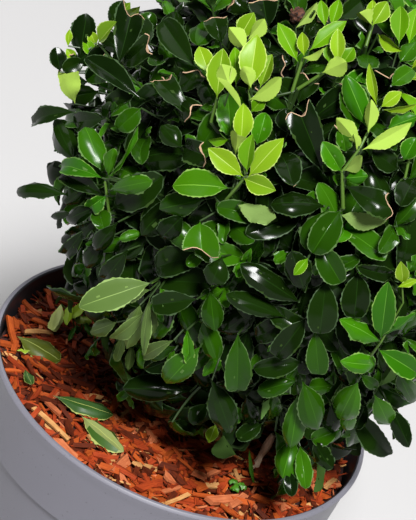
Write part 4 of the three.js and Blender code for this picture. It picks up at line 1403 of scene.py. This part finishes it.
def hang_on(twigs, joints, foot, radius):
    """Carries a leaf's foot or a stalk's end by a short twig from the nearest shoot, and gives its mass."""
    depth = (foot - CROWN_CENTRE).length

    def cost(joint):
        over = (joint[0] - CROWN_CENTRE).length - depth + JOINT_DEPTH
        return (joint[0] - foot).length + max(0, over) * OVER_COST

    near, mass = min(joints, key=cost)
    span = (near - foot).length
    if span > SHORTEST_TWIG:
        bend = near.lerp(foot, 0.5) + (CROWN_CENTRE - foot).normalized() * span * TWIG_BEND
        radii = [radius * 1.1, radius, radius * 0.9]
        tube(twigs, [near, bend, foot], radii, TWIG_SIDES, GREEN_STALK)
    return mass


def foliage():
    """Grows the crown and makes its leaves, one piece to a mass, and its twigs."""
    chance = random.Random(SEED + 1)
    materials, places = leaf_finishes()
    anchors, branches = crown_branches()
    shoots = crown_shoots(anchors)
    crowd = Crowd(len(shoots) * MOST_LEAVES + len(SEEN_LEAVES))
    heaps = [Heap() for _ in range(BOUGH_COUNT + 1)]
    twigs = Heap()

    def grow(mass, leaf):
        parts = places[leaf.tone][leaf.variant % len(places[leaf.tone])]
        faces, looks = CUT_LEAF_FACES if leaf.cut else LEAF_FACES
        heaps[mass].add(leaf_shape(leaf), faces, [parts[look] for look in looks])
        if leaf.cut:
            rim = cut_rim(leaf)
            radii = [CUT_RIM / 2] + [CUT_RIM] * (len(rim) - 2) + [CUT_RIM / 2]
            tube(heaps[mass], rim, radii, CUT_RIM_SIDES, parts[CUT])

    joints = [(point, shoot.mass) for shoot in shoots for point in shoot.path[1:6]]
    for low_x, low_y, low_reach, high_x, high_y, high_reach, radius in SEEN_STALKS:
        low = seen_at(low_x, low_y, low_reach * MM)
        high = seen_at(high_x, high_y, high_reach * MM)
        mass = hang_on(twigs, joints, low, radius * MM)
        radius = radius * STALK_WIDTH * MM
        radii = [radius, radius * 0.9, radius * 0.75]
        tube(twigs, [low, (low + high) / 2, high], radii, STALK_SIDES, YOUNG_STALK)
        joints += [(low.lerp(high, step / 4), mass) for step in range(5)]
    for foot_x, foot_y, tip_x, tip_y, breadth, low, high, roll, bend, tone, *clipped in SEEN_LEAVES:
        foot = seen_at(foot_x, foot_y, low * MM)
        tip = no_longer(foot, seen_at(tip_x, tip_y, high * MM), LONGEST_LEAF)
        leaf = seen_leaf(chance, foot, tip, breadth, roll, bend, tone, bool(clipped))
        points = leaf.rough()
        crowd.show(points[1::3], breadth * SHOWN_BREADTH)
        crowd.add(points, rough_tree(points))
        grow(hang_on(twigs, joints, foot, STALK_TIP_RADIUS), leaf)
    for shoot in shoots:
        leaves = shoot_leaves(shoot, chance, crowd)
        if len(leaves) < FEWEST_LEAVES:
            continue
        neck = shoot.path[0]
        farthest = max((leaf.start - neck).length for leaf in leaves)
        path = [point for point in shoot.path if (point - neck).length < farthest + STALK_PAST]
        if len(path) > 1:
            thinning = STALK_TIP_RADIUS - STALK_RADIUS
            radii = [STALK_RADIUS + thinning * step / SHOOT_STEPS for step in range(len(path))]
            tube(twigs, path, radii, TWIG_SIDES, STALK_FINISHES.get(shoot.kind, GREEN_STALK))
        for leaf in leaves:
            grow(shoot.mass, leaf)
    for start, end, low, high in branches:
        middle = (start + end) / 2 - UP * TWIG_SAG
        radii = [low, (low + high) / 2, high]
        tube(twigs, [start, middle, end], radii, BRANCH_SIDES, SHADED_TWIG_BARK)
    masses = [f"side_{sector + 1}" for sector in range(BOUGH_COUNT)] + ["top"]
    for heap, name in zip(heaps, masses):
        finish_piece(heap.piece("leaves_" + name, materials, LEAF_SMOOTH), "foliage", "foliage_" + name)
    finish_piece(twigs.piece("twigs", twig_finishes(), WOOD_SMOOTH), "bark")


def twig_finishes():
    """The finishes of the twigs, in the order of their numbers."""
    stalks = []
    for name, code in (("young stalk", "#46641a"), ("green stalk", "#243a10"), ("shaded stalk", "#161f0c")):
        stalks.append(Finish(name).surface(Base_Color=colour(code), Roughness=0.5))
    # The twigs' bark is a darker copy of the trunk's, as painted shade inside the crown
    return [*stalks, bark_finish("twig bark in painted shade", "#2c2116", "#574634")]


def bark_finish(name, dark, light):
    """Dull bark with fine furrows that run up the wood."""
    finish = Finish(name)
    place = finish.place()
    furrows = finish.grain(finish.stretched(place, (1, 1, 0.22)), 900, 4, 0.65)
    patches = finish.grain(place, 70, 2)
    shade = finish.ramp(furrows * 0.65 + patches * 0.35, (0.3, colour(dark)), (0.72, colour(light)))
    return finish.surface(
        Base_Color=shade,
        Roughness=furrows * 0.2 + 0.7,
        Normal=finish.bump(furrows, 0.6 * MM, 0.7),
    )


# Pot
def wall_radius(height):
    """Radius of the pot's outside at a height, without the collar's own step and lip."""
    collar_radius = RIM_RADIUS - LIP_WIDTH - COLLAR_TAPER - COLLAR_STEP
    if height < COLLAR_FOOT:
        return BASE_RADIUS + (collar_radius - BASE_RADIUS) * height / COLLAR_FOOT
    return RIM_RADIUS - LIP_WIDTH - COLLAR_TAPER * (POT_HEIGHT - height) / COLLAR_HEIGHT


def drawn_up(name, sides, profile):
    """A round piece drawn up from a disc: each next rim is extruded, then resized."""
    radius, height = profile[0]
    item = disc(name, sides, radius, height)
    edit(item, "EDGE")
    for next_radius, next_height in profile[1:]:
        move = {"value": (0, 0, next_height - height)}
        bpy.ops.mesh.extrude_edges_move(TRANSFORM_OT_translate=move)
        scale = next_radius / radius
        bpy.ops.transform.resize(value=(scale, scale, 1), center_override=(0, 0, next_height))
        radius, height = next_radius, next_height
    bpy.ops.mesh.edge_face_add()
    leave_edit()
    return item


def pot():
    """The shell of the pot with its collar, lip and drainage holes."""
    lip_foot = POT_HEIGHT - LIP_HEIGHT
    step_foot = COLLAR_FOOT - COLLAR_STEP
    outside = [COLLAR_FOOT / 2, step_foot, COLLAR_FOOT, lip_foot - LIP_HEIGHT]
    item = drawn_up("pot_shell", POT_SIDES, [
        (BASE_RADIUS - FOOT_EDGE, 0),
        (wall_radius(FOOT_EDGE), FOOT_EDGE),
        *[(wall_radius(height), height) for height in outside],
        (RIM_RADIUS - LIP_WIDTH * 0.6, lip_foot),
        (RIM_RADIUS, POT_HEIGHT - LIP_SHOULDER),
        (RIM_RADIUS - LIP_ROUND, POT_HEIGHT),
        (wall_radius(POT_HEIGHT) - WALL + LIP_INNER_ROUND, POT_HEIGHT),
        (wall_radius(POT_HEIGHT) - WALL, POT_HEIGHT - LIP_INNER_ROUND),
        *[(wall_radius(height) - WALL, height) for height in (COLLAR_FOOT, step_foot, FLOOR)],
    ])
    for hole in range(DRAIN_COUNT):
        angle = (hole + 0.5) * 2 * math.pi / DRAIN_COUNT
        place = (DRAIN_CIRCLE * math.cos(angle), DRAIN_CIRCLE * math.sin(angle), 0)
        bpy.ops.mesh.primitive_cylinder_add(
            vertices=DRAIN_SIDES, radius=DRAIN_RADIUS, depth=FLOOR * 4, location=place,
        )
        drill = added("drill")
        settle(drill)
        modify(item, "BOOLEAN", operation="DIFFERENCE", object=drill, solver="EXACT")
        bpy.data.objects.remove(drill)
    limit = rad(POT_BEVEL_ANGLE)
    modify(item, "BEVEL", width=POT_BEVEL, segments=2, limit_method="ANGLE", angle_limit=limit)
    smooth(item, POT_SMOOTH)
    item.data.materials.append(pot_finish("pot outside", "#72717a", "#696871"))
    item.data.materials.append(pot_finish("pot inside", "#2d2c30", "#232226"))
    for face in item.data.polygons:
        middle = face.center
        radius = math.hypot(middle.x, middle.y)
        inner = radius < wall_radius(middle.z) - WALL * 0.35 and middle.z > FLOOR / 2
        face.material_index = 1 if inner or face.normal.z > 0.5 and middle.z < POT_HEIGHT / 2 else 0
    finish_piece(item, "pot", "pot")


def pot_finish(name, light, dark):
    """Moulded plastic with a satin skin, faint mottling and a few fine specks."""
    finish = Finish(name)
    place = finish.place()
    cloud = finish.grain(place, 9, 3)
    skin = finish.grain(place, 1400, 2)
    specks = finish.grain(place, 420, 1) > 0.735
    base = finish.mixed(cloud, colour(light), colour(dark))
    return finish.surface(
        Base_Color=finish.mixed(specks * 0.55, base, colour("#4a4a50")),
        Roughness=cloud * 0.16 + 0.36,
        Normal=finish.bump(skin, 0.12 * MM, 0.35),
    )


# Filling
def fill_radius(height):
    return wall_radius(height) - WALL - GAP


def compost():
    """The compost keeps its solid and gets a crumbly finish."""
    finish = Finish("compost")
    place = finish.place()
    crumbs = finish.cells(place, 260)
    damp = finish.grain(place, 60, 4)
    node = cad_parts["soil"]
    node.data.materials.clear()
    shade = finish.ramp(damp, (0.3, colour("#1d140e")), (0.7, colour("#4a3524")))
    material = finish.surface(Base_Color=shade, Roughness=0.95, Normal=finish.bump(crumbs, 1.5 * MM))
    node.data.materials.append(material)


def bed_height(x, y):
    """How high the mulch lies, with its heaps and hollows."""
    place = Vector((x, y, 0))
    heaps = sum(noise.noise(place * fineness) * height * MM for fineness, height in BED_HEAPS)
    return MULCH_TOP + BED_RISE + heaps


def mulch_bed():
    """A dark uneven bed under the chips: a disc raised, inset ring by ring and moved up and down."""
    bottom = SOIL_TOP + GAP
    radius = fill_radius(bottom)
    item = disc("mulch_bed", BED_SIDES, radius, bottom)
    edit(item, "FACE")
    rise = {"value": (0, 0, BED_FLAT_TOP - bottom)}
    bpy.ops.mesh.extrude_region_move(TRANSFORM_OT_translate=rise)
    ring = (radius - TRUNK_HOLE) / BED_RINGS
    for _ in range(BED_RINGS):
        bpy.ops.mesh.inset(thickness=ring)
    leave_edit()
    fineness, lump = BED_LUMPS
    for vertex in item.data.vertices:
        if vertex.co.z > bottom + 1 * MM:
            vertex.co.z = bed_height(vertex.co.x, vertex.co.y) - BED_SUNK
            vertex.co.z += noise.noise(vertex.co * fineness) * lump * MM
    modify(item, "SUBSURF", levels=1, render_levels=1)
    smooth(item, WOOD_SMOOTH)
    finish = Finish("mulch bed")
    shreds = finish.grain(finish.place(), 320, 5, 0.7)
    stops = [(0.3, colour("#120603")), (0.52, colour("#381006")), (0.75, colour("#6e260c"))]
    item.data.materials.append(finish.surface(
        Base_Color=finish.ramp(shreds, *stops),
        Roughness=0.9,
        Normal=finish.bump(shreds, 2.5 * MM),
    ))
    finish_piece(item, "mulch", "mulch")


def chip_finish(name, dark, light):
    """Split wood: grain that runs along the chip, on its own map."""
    finish = Finish(name)
    along = finish.node("ShaderNodeUVMap", {"uv_map": "grain"}, {}, "UV")
    streaks = finish.grain(finish.stretched(along, (60, 1400, 1)), 1, 4, 0.6)
    patches = finish.grain(finish.stretched(along, (120, 120, 1)), 1, 2)
    shade = finish.ramp(streaks * 0.7 + patches * 0.3, (0.32, colour(dark)), (0.66, colour(light)))
    return finish.surface(
        Base_Color=shade,
        Roughness=0.72,
        Specular_IOR_Level=0.2,
        Normal=finish.bump(streaks, 0.5 * MM, 0.8),
    )


CHIP_TONES = [
    ("red chip", "#621b06", "#a64017", 0.32),
    ("orange chip", "#782b08", "#b6541d", 0.22),
    ("salmon chip", "#8a3c1c", "#c4744a", 0.11),
    ("tan chip", "#905a2c", "#cc9c62", 0.05),
    ("brown chip", "#340f05", "#642508", 0.27),
]
RED, ORANGE, SALMON, TAN, BROWN = range(5)
# Painted shade: darker chips dealt out more often at the back and the left of the bed, in the same order
PAINTED_SHADE_CHIP_SHARES = [0.36, 0.16, 0.04, 0.02, 0.42]
PAINTED_SHADE_LEFT_OF = -45 * MM
# The chips that catch the eye: from and to in pixels, width in mm, tone
SEEN_CHIPS = [
    (33, 408, 69, 440, 4, TAN), (57, 440, 77, 459, 6, SALMON), (48, 402, 60, 416, 4, SALMON),
    (113, 474, 127, 459, 8, SALMON), (135, 465, 152, 467, 5, TAN), (165, 504, 189, 494, 3, TAN),
    (192, 474, 218, 479, 6, SALMON), (205, 485, 219, 486, 4, TAN), (208, 502, 238, 498, 7, SALMON),
    (229, 508, 246, 494, 6, SALMON), (200, 455, 218, 463, 5, ORANGE), (138, 490, 162, 482, 6, RED),
    (150, 508, 162, 500, 6, ORANGE), (286, 486, 300, 494, 7, RED), (312, 478, 336, 474, 7, RED),
    (8, 320, 18, 345, 5, ORANGE), (24, 333, 52, 332, 4, TAN), (100, 372, 118, 366, 5, BROWN),
]


def chip(heap, chance, place, heading, length, width, depth, finish):
    """One split chip: a bar of four sides in two lengths, with slanted ragged ends."""
    turn = Matrix.Rotation(heading, 3, "Z")
    turn = turn @ rotation(chance.gauss(0, CHIP_PITCH), "Y") @ rotation(chance.gauss(0, CHIP_ROLL), "X")
    slant = chance.uniform(-0.8, 0.8) * width
    bow = chance.uniform(-0.05, 0.05) * length
    points = []
    uv = []
    start = (chance.uniform(0, 3), chance.uniform(0, 3))
    for station in (-1, 0, 1):
        grow = chance.uniform(0.75, 1) if station else 1
        for side, up in ((-1, -1), (1, -1), (1, 1), (-1, 1)):
            x = station * length / 2 + station * side * slant / 2 + chance.uniform(-0.08, 0.08) * width
            y = side * width / 2 * grow * chance.uniform(0.85, 1.1) + bow * (1 - station * station)
            z = up * depth / 2 * chance.uniform(0.7, 1.15)
            points.append(place + turn @ Vector((x, y, z)))
            uv.append((start[0] + x, start[1] + y + z * 2))
    faces = [(3, 2, 1, 0), (8, 9, 10, 11)] + between_rings(3, 4)
    heap.add(points, faces, finish, uv)


def wood_chips():
    """Chips and splinters strewn over the bed, each lying in its own way."""
    chance = random.Random(SEED + 5)
    heap = Heap()
    outer = fill_radius(MULCH_TOP)
    for number in range(CHIP_COUNT + SPLINTER_COUNT):
        splinter = number >= CHIP_COUNT
        length = chance.uniform(*SPLINTER_LENGTHS) if splinter else chance.triangular(*CHIP_LENGTHS)
        width = chance.uniform(*SPLINTER_WIDTHS) if splinter else chance.triangular(*CHIP_WIDTHS)
        depth = width * chance.uniform(*CHIP_DEPTHS)
        reach = outer - length * MM * 0.45
        radius = math.sqrt(chance.uniform((TRUNK_HOLE / reach) ** 2, 1)) * reach
        angle = chance.uniform(0, 2 * math.pi)
        x = radius * math.cos(angle)
        y = radius * math.sin(angle)
        place = Vector((x, y, bed_height(x, y) + chance.uniform(*CHIP_LIFT) * MM))
        # Chips at the back and the left take the darker shares, as painted shade
        shares = PAINTED_SHADE_CHIP_SHARES if x < PAINTED_SHADE_LEFT_OF or y > 0 else [tone[3] for tone in CHIP_TONES]
        finish = chance.choices(range(len(CHIP_TONES)), shares)[0]
        heading = chance.uniform(0, 2 * math.pi)
        chip(heap, chance, place, heading, length * MM, width * MM, depth * MM, finish)
    for x0, y0, x1, y1, width, finish in SEEN_CHIPS:
        low = above_mulch(x0, y0, SEEN_CHIP_LIFT)
        run = above_mulch(x1, y1, SEEN_CHIP_LIFT) - low
        heading = math.atan2(run.y, run.x)
        depth = width * SEEN_CHIP_DEPTH * MM
        chip(heap, chance, low + run / 2, heading, run.length, width * MM, depth, finish)
    finishes = [chip_finish(*tone[:3]) for tone in CHIP_TONES]
    finish_piece(heap.piece("wood_chips", finishes, CHIP_SMOOTH), "mulch", "mulch")


# Wood
LIMB_SHARES = [step / LIMB_STEPS for step in range(LIMB_STEPS + 1)]


def limb(name, curve, radii):
    """A round limb drawn as a curve with a radius at each step along it, then made a mesh."""
    line = bpy.data.curves.new(name, "CURVE")
    line.dimensions = "3D"
    line.bevel_depth = 1
    line.bevel_resolution = 4
    line.use_fill_caps = True
    run = line.splines.new("POLY")
    run.points.add(LIMB_STEPS)
    for point, step, radius in zip(run.points, LIMB_SHARES, radii):
        point.co = (*curve.at(step), 1)
        point.radius = radius
    pick(linked(name, line))
    bpy.ops.object.convert(target="MESH")
    return bpy.context.object


def trunk_radius(along):
    flare = math.exp(-along / FLARE_LENGTH)
    return TRUNK_RADIUS * (1 - TRUNK_TAPER * along) + (FLARE_RADIUS - TRUNK_RADIUS) * flare


def tapered(root, tip):
    """The radii of an evenly tapered limb."""
    return [root + (tip - root) * s for s in LIMB_SHARES]


def wood():
    """Trunk, boughs, leader and side stem, fused and given the relief of bark."""
    trunk = trunk_curve()
    leader = leader_curve(trunk)
    leader.points[0] = trunk.at(LEADER_SUNK)
    stub = Curve([SIDE_STEM_FOOT, SIDE_STEM_FOOT + UP * 14 * MM, SIDE_STEM_TIP])
    knots = [SIDE_STEM_RADIUS * (1.05 - 0.2 * s + 0.12 * math.sin(s * 17)) for s in LIMB_SHARES]
    boughs = [bough_curve(trunk, sector) for sector in range(BOUGH_COUNT)]
    item = join("stems", [
        limb("trunk", trunk, [trunk_radius(s) for s in LIMB_SHARES]),
        *[limb("bough", bough, tapered(BOUGH_ROOT_RADIUS, BOUGH_TIP_RADIUS)) for bough in boughs],
        limb("leader", leader, tapered(LEADER_ROOT_RADIUS, LEADER_TIP_RADIUS)),
        limb("side stem", stub, knots),
    ])
    modify(item, "REMESH", mode="VOXEL", voxel_size=BARK_VOXEL)
    modify(item, "SMOOTH", factor=0.5, iterations=3)
    outward = [vertex.normal.copy() for vertex in item.data.vertices]
    for vertex, normal in zip(item.data.vertices, outward):
        place = vertex.co.copy()
        flare = math.exp(-(place.z - SOIL_TOP) / (FLARE_LENGTH * (TRUNK_TOP - SOIL_TOP)))
        if math.hypot(place.x, place.y) < FLARE_ZONE:
            swell = FLARE_LOBE_DEPTH * flare * math.cos(FLARE_LOBES * math.atan2(place.y, place.x))
            place.x *= 1 + swell
            place.y *= 1 + swell
        furrow = noise.noise(Vector((place.x * 520, place.y * 520, place.z * 90)))
        lump = noise.noise(place * 130)
        vertex.co = place + normal * (furrow * BARK_FURROW + lump * BARK_LUMP) * MM
    smooth(item, WOOD_SMOOTH)
    item.data.materials.append(bark_finish("bark", "#51402e", "#9b8467"))
    # The stub is dry tan bark, painted paler than its own colour as painted light, since the crown keeps the
    # lamps off it
    item.data.materials.append(bark_finish("dry bark with painted light", "#b08c68", "#f6dec2"))
    for face in item.data.polygons:
        if (face.center - SIDE_STEM_FOOT).xy.length < SIDE_STEM_ZONE:
            face.material_index = 1
    nodes = [f"bough_{sector + 1}" for sector in range(BOUGH_COUNT)]
    finish_piece(item, "bark", "trunk", "side_stem", "leader", *nodes)


# What lies and sprouts on the mulch
LITTER_COLOURS = {
    "fallen olive": "#4c5614", "fallen green": "#2c4a1c", "fallen yellow": "#33501a", "fallen rib": "#98a058",
    "bleached": "#76804a", "fallen under": "#77803e", "seedling": "#3a6a18", "fallen lime": "#7c9426",
    # The seedling's pale and lime leaves are painted brighter than their own colour, as painted light under
    # the crown's shade
    "seedling pale with painted light": "#dcea8c", "seedling lime with painted light": "#b0d430",
}
# The fallen leaves: x and y of the middle and length in mm, part of the length that is the breadth, turn and
# tilt in degrees, finish
FALLEN_LEAVES = [
    (-110, -25, 38, 0.6, -3, 8, "fallen olive"), (-60, -69, 48, 0.36, 8, 14, "fallen green"),
    (-38, -90, 42, 0.5, -22, 10, "fallen yellow"), (-119, -38, 12, 0.4, 40, 9, "fallen lime"),
    (-106, -62, 16, 0.5, -50, 9, "fallen green"), (-37, -40, 20, 0.4, 80, 16, "fallen lime"),
    (-93, 32, 18, 0.7, 20, 12, "fallen lime"),
]
FALLEN_LIFT = 9 * MM
FALLEN_BEND = 14
FALLEN_FOLD = 30
FALLEN_CURL = 0.8
BLEACHED_BREADTH = 0.17
# The clover-like seedling: its place, its stalk's height above and below that, its leaves' length and breadth
SPROUT = Vector((67, -77, 0)) * MM
SPROUT_LIFT = 3 * MM
SPROUT_HEIGHT = 4 * MM
SPROUT_ROOT = 8 * MM
SPROUT_LEAF_LENGTH = 9 * MM
SPROUT_LEAF_BREADTH = 8 * MM
# The seedling's leaves: foot x and y, tip x and y in pixels, breadth and height above the mulch in mm, finish
SEEDLING_LEAVES = [
    # Their pale and lime finishes carry painted light
    (61, 304, 57, 328, 11, 16, "seedling pale with painted light"), (70, 304, 69, 323, 8, 15, "seedling lime with painted light"),
    (86, 301, 74, 318, 9, 14, "seedling lime with painted light"),
    (84, 322, 92, 336, 6, 8, "seedling"), (76, 326, 68, 338, 5, 8, "seedling"),
]
SEEDLING_ROOT = (80, 334, 0)
SEEDLING_BEND = 15
SEEDLING_STALK = 0.6 * MM
# The blade of grass: foot and tip in pixels with their height above the mulch in mm
GRASS_FOOT = (255, 488, -3)
GRASS_TIP = (246, 453, 22)
GRASS_BREADTH = 3.4 * MM
# The husk: x and y in pixels, and its distance from the crown's centre
HUSK_PLACE = (297, 15, 156 * MM)
HUSK_RADIUS = 5 * MM


def fallen_leaf(chance, x, y, length, breadth, turn, tilt):
    """A leaf that lies on the mulch."""
    along = direction(rad(turn), rad(tilt) * 0.3)
    start = Vector((x, y, bed_height(x, y) + FALLEN_LIFT)) - along * length * MM / 2
    face = (UP + Vector((chance.uniform(-0.2, 0.2), -0.25, 0))).normalized()
    leaf = Leaf(chance, start, along, face, length * MM, "dark")
    leaf.width = length * breadth * MM
    leaf.bend = rad(FALLEN_BEND)
    leaf.fold = rad(FALLEN_FOLD)
    leaf.curl = FALLEN_CURL
    return leaf


def litter():
    """Fallen leaves on the mulch, with a clover-like seedling and a blade of grass."""
    chance = random.Random(SEED + 9)
    heap = Heap()
    slots = {name: number for number, name in enumerate(LITTER_COLOURS)}
    green = slots["seedling"]
    faces, looks = LEAF_FACES

    def facing(foot, tip, tone):
        """A leaf from its foot to its tip that looks at the lens."""
        along = tip - foot
        return Leaf(chance, foot, along.normalized(), (EYE - foot).normalized(), along.length, tone)

    for x, y, length, breadth, turn, tilt, name in FALLEN_LEAVES:
        leaf = fallen_leaf(chance, x * MM, y * MM, length, breadth, turn, tilt)
        rib = slots["fallen rib"]
        parts = {FACE: slots[name], RIB: rib, MARGIN: rib, UNDER: slots["fallen under"]}
        points = leaf_shape(leaf)
        finishes = [parts[look] for look in looks]
        if name == "fallen yellow":
            for number, corners in enumerate(faces):
                off = (points[list(corners)].mean(axis=0) - np.array(leaf.start)) @ np.array(leaf.side)
                if abs(off) < leaf.width * BLEACHED_BREADTH and looks[number] == FACE:
                    finishes[number] = slots["bleached"]
        heap.add(points, faces, finishes)
    sprout = SPROUT.copy()
    sprout.z = bed_height(sprout.x, sprout.y) + SPROUT_LIFT
    top = sprout + UP * SPROUT_HEIGHT
    tube(heap, [sprout - UP * SPROUT_ROOT, top], [0.7 * MM, 0.5 * MM], TWIG_SIDES, green)
    for turn in range(3):
        leaf = Leaf(chance, top, direction(turn * 2.1 + 0.4, 0.2), UP, SPROUT_LEAF_LENGTH, "dark")
        leaf.width = SPROUT_LEAF_BREADTH
        heap.add(leaf_shape(leaf), faces, green)
    root = above_mulch(*SEEDLING_ROOT)
    for foot_x, foot_y, tip_x, tip_y, breadth, height, name in SEEDLING_LEAVES:
        foot = above_mulch(foot_x, foot_y, height)
        middle = root.lerp(foot, 0.5) + UP * 3 * MM
        tube(heap, [root - UP * 5 * MM, middle, foot], [SEEDLING_STALK] * 3, TWIG_SIDES, green)
        leaf = facing(foot, above_mulch(tip_x, tip_y, height - 1), "dark")
        leaf.width = breadth * MM
        leaf.bend = rad(SEEDLING_BEND)
        heap.add(leaf_shape(leaf), faces, slots[name])
    blade = facing(above_mulch(*GRASS_FOOT), above_mulch(*GRASS_TIP), "fresh")
    blade.width = GRASS_BREADTH
    heap.add(leaf_shape(blade), faces, green)
    materials = []
    for name, code in LITTER_COLOURS.items():
        paint = Finish(name).surface(Base_Color=colour(code), Roughness=0.4, Specular_IOR_Level=0.2)
        materials.append(paint)
    finish_piece(heap.piece("fallen_leaves", materials, LEAF_SMOOTH), "foliage")


def husk():
    """A dry brown seed husk caught among the shoots at the top."""
    place = seen_at(*HUSK_PLACE)
    bpy.ops.mesh.primitive_ico_sphere_add(subdivisions=3, radius=HUSK_RADIUS, location=place)
    item = added("seed_husk")
    settle(item)
    for vertex in item.data.vertices:
        bump = noise.noise(vertex.co * 420) * 0.5 + noise.noise(vertex.co * 900) * 0.25
        vertex.co += (vertex.co - place) * bump
    smooth(item, WOOD_SMOOTH)
    finish = Finish("seed husk")
    spots = finish.grain(finish.place(), 500, 3)
    shade = finish.ramp(spots, (0.4, colour("#200c05")), (0.6, colour("#56301a")))
    item.data.materials.append(finish.surface(Base_Color=shade, Roughness=0.8))
    finish_piece(item, "bark")


# Camera, floor and light
def studio():
    data = bpy.data.cameras.new("camera")
    data.lens = LENS
    data.clip_start = CLIP_START
    camera = linked("camera", data)
    camera.matrix_world = Matrix.Translation(EYE) @ TURN.to_4x4()
    bpy.context.scene.camera = camera

    deselect()
    bpy.ops.mesh.primitive_plane_add(size=FLOOR_SIZE, location=(0, 0, -FLOOR_DROP))
    floor = added("floor")
    paint = Finish("floor").surface(Base_Color=colour(FLOOR_COLOUR), Roughness=0.9, Specular_IOR_Level=0)
    floor.data.materials.append(paint)

    world = bpy.data.worlds.new("studio")
    world.use_nodes = True
    background = world.node_tree.nodes["Background"]
    background.inputs["Color"].default_value = (1, 1, 1, 1)
    background.inputs["Strength"].default_value = SKY
    bpy.context.scene.world = world
    for name, (place, target, size, power) in SOFTBOXES.items():
        light = bpy.data.lights.new(name, "AREA")
        light.shape = "SQUARE"
        light.size = size
        light.energy = power
        lamp = linked(name, light)
        lamp.location = place
        lamp.rotation_euler = (Vector(target) - Vector(place)).to_track_quat("-Z", "Y").to_euler()
    bpy.context.scene.view_settings.view_transform = "Standard"


studio()
pot()
compost()
mulch_bed()
wood_chips()
wood()
foliage()
litter()
husk()
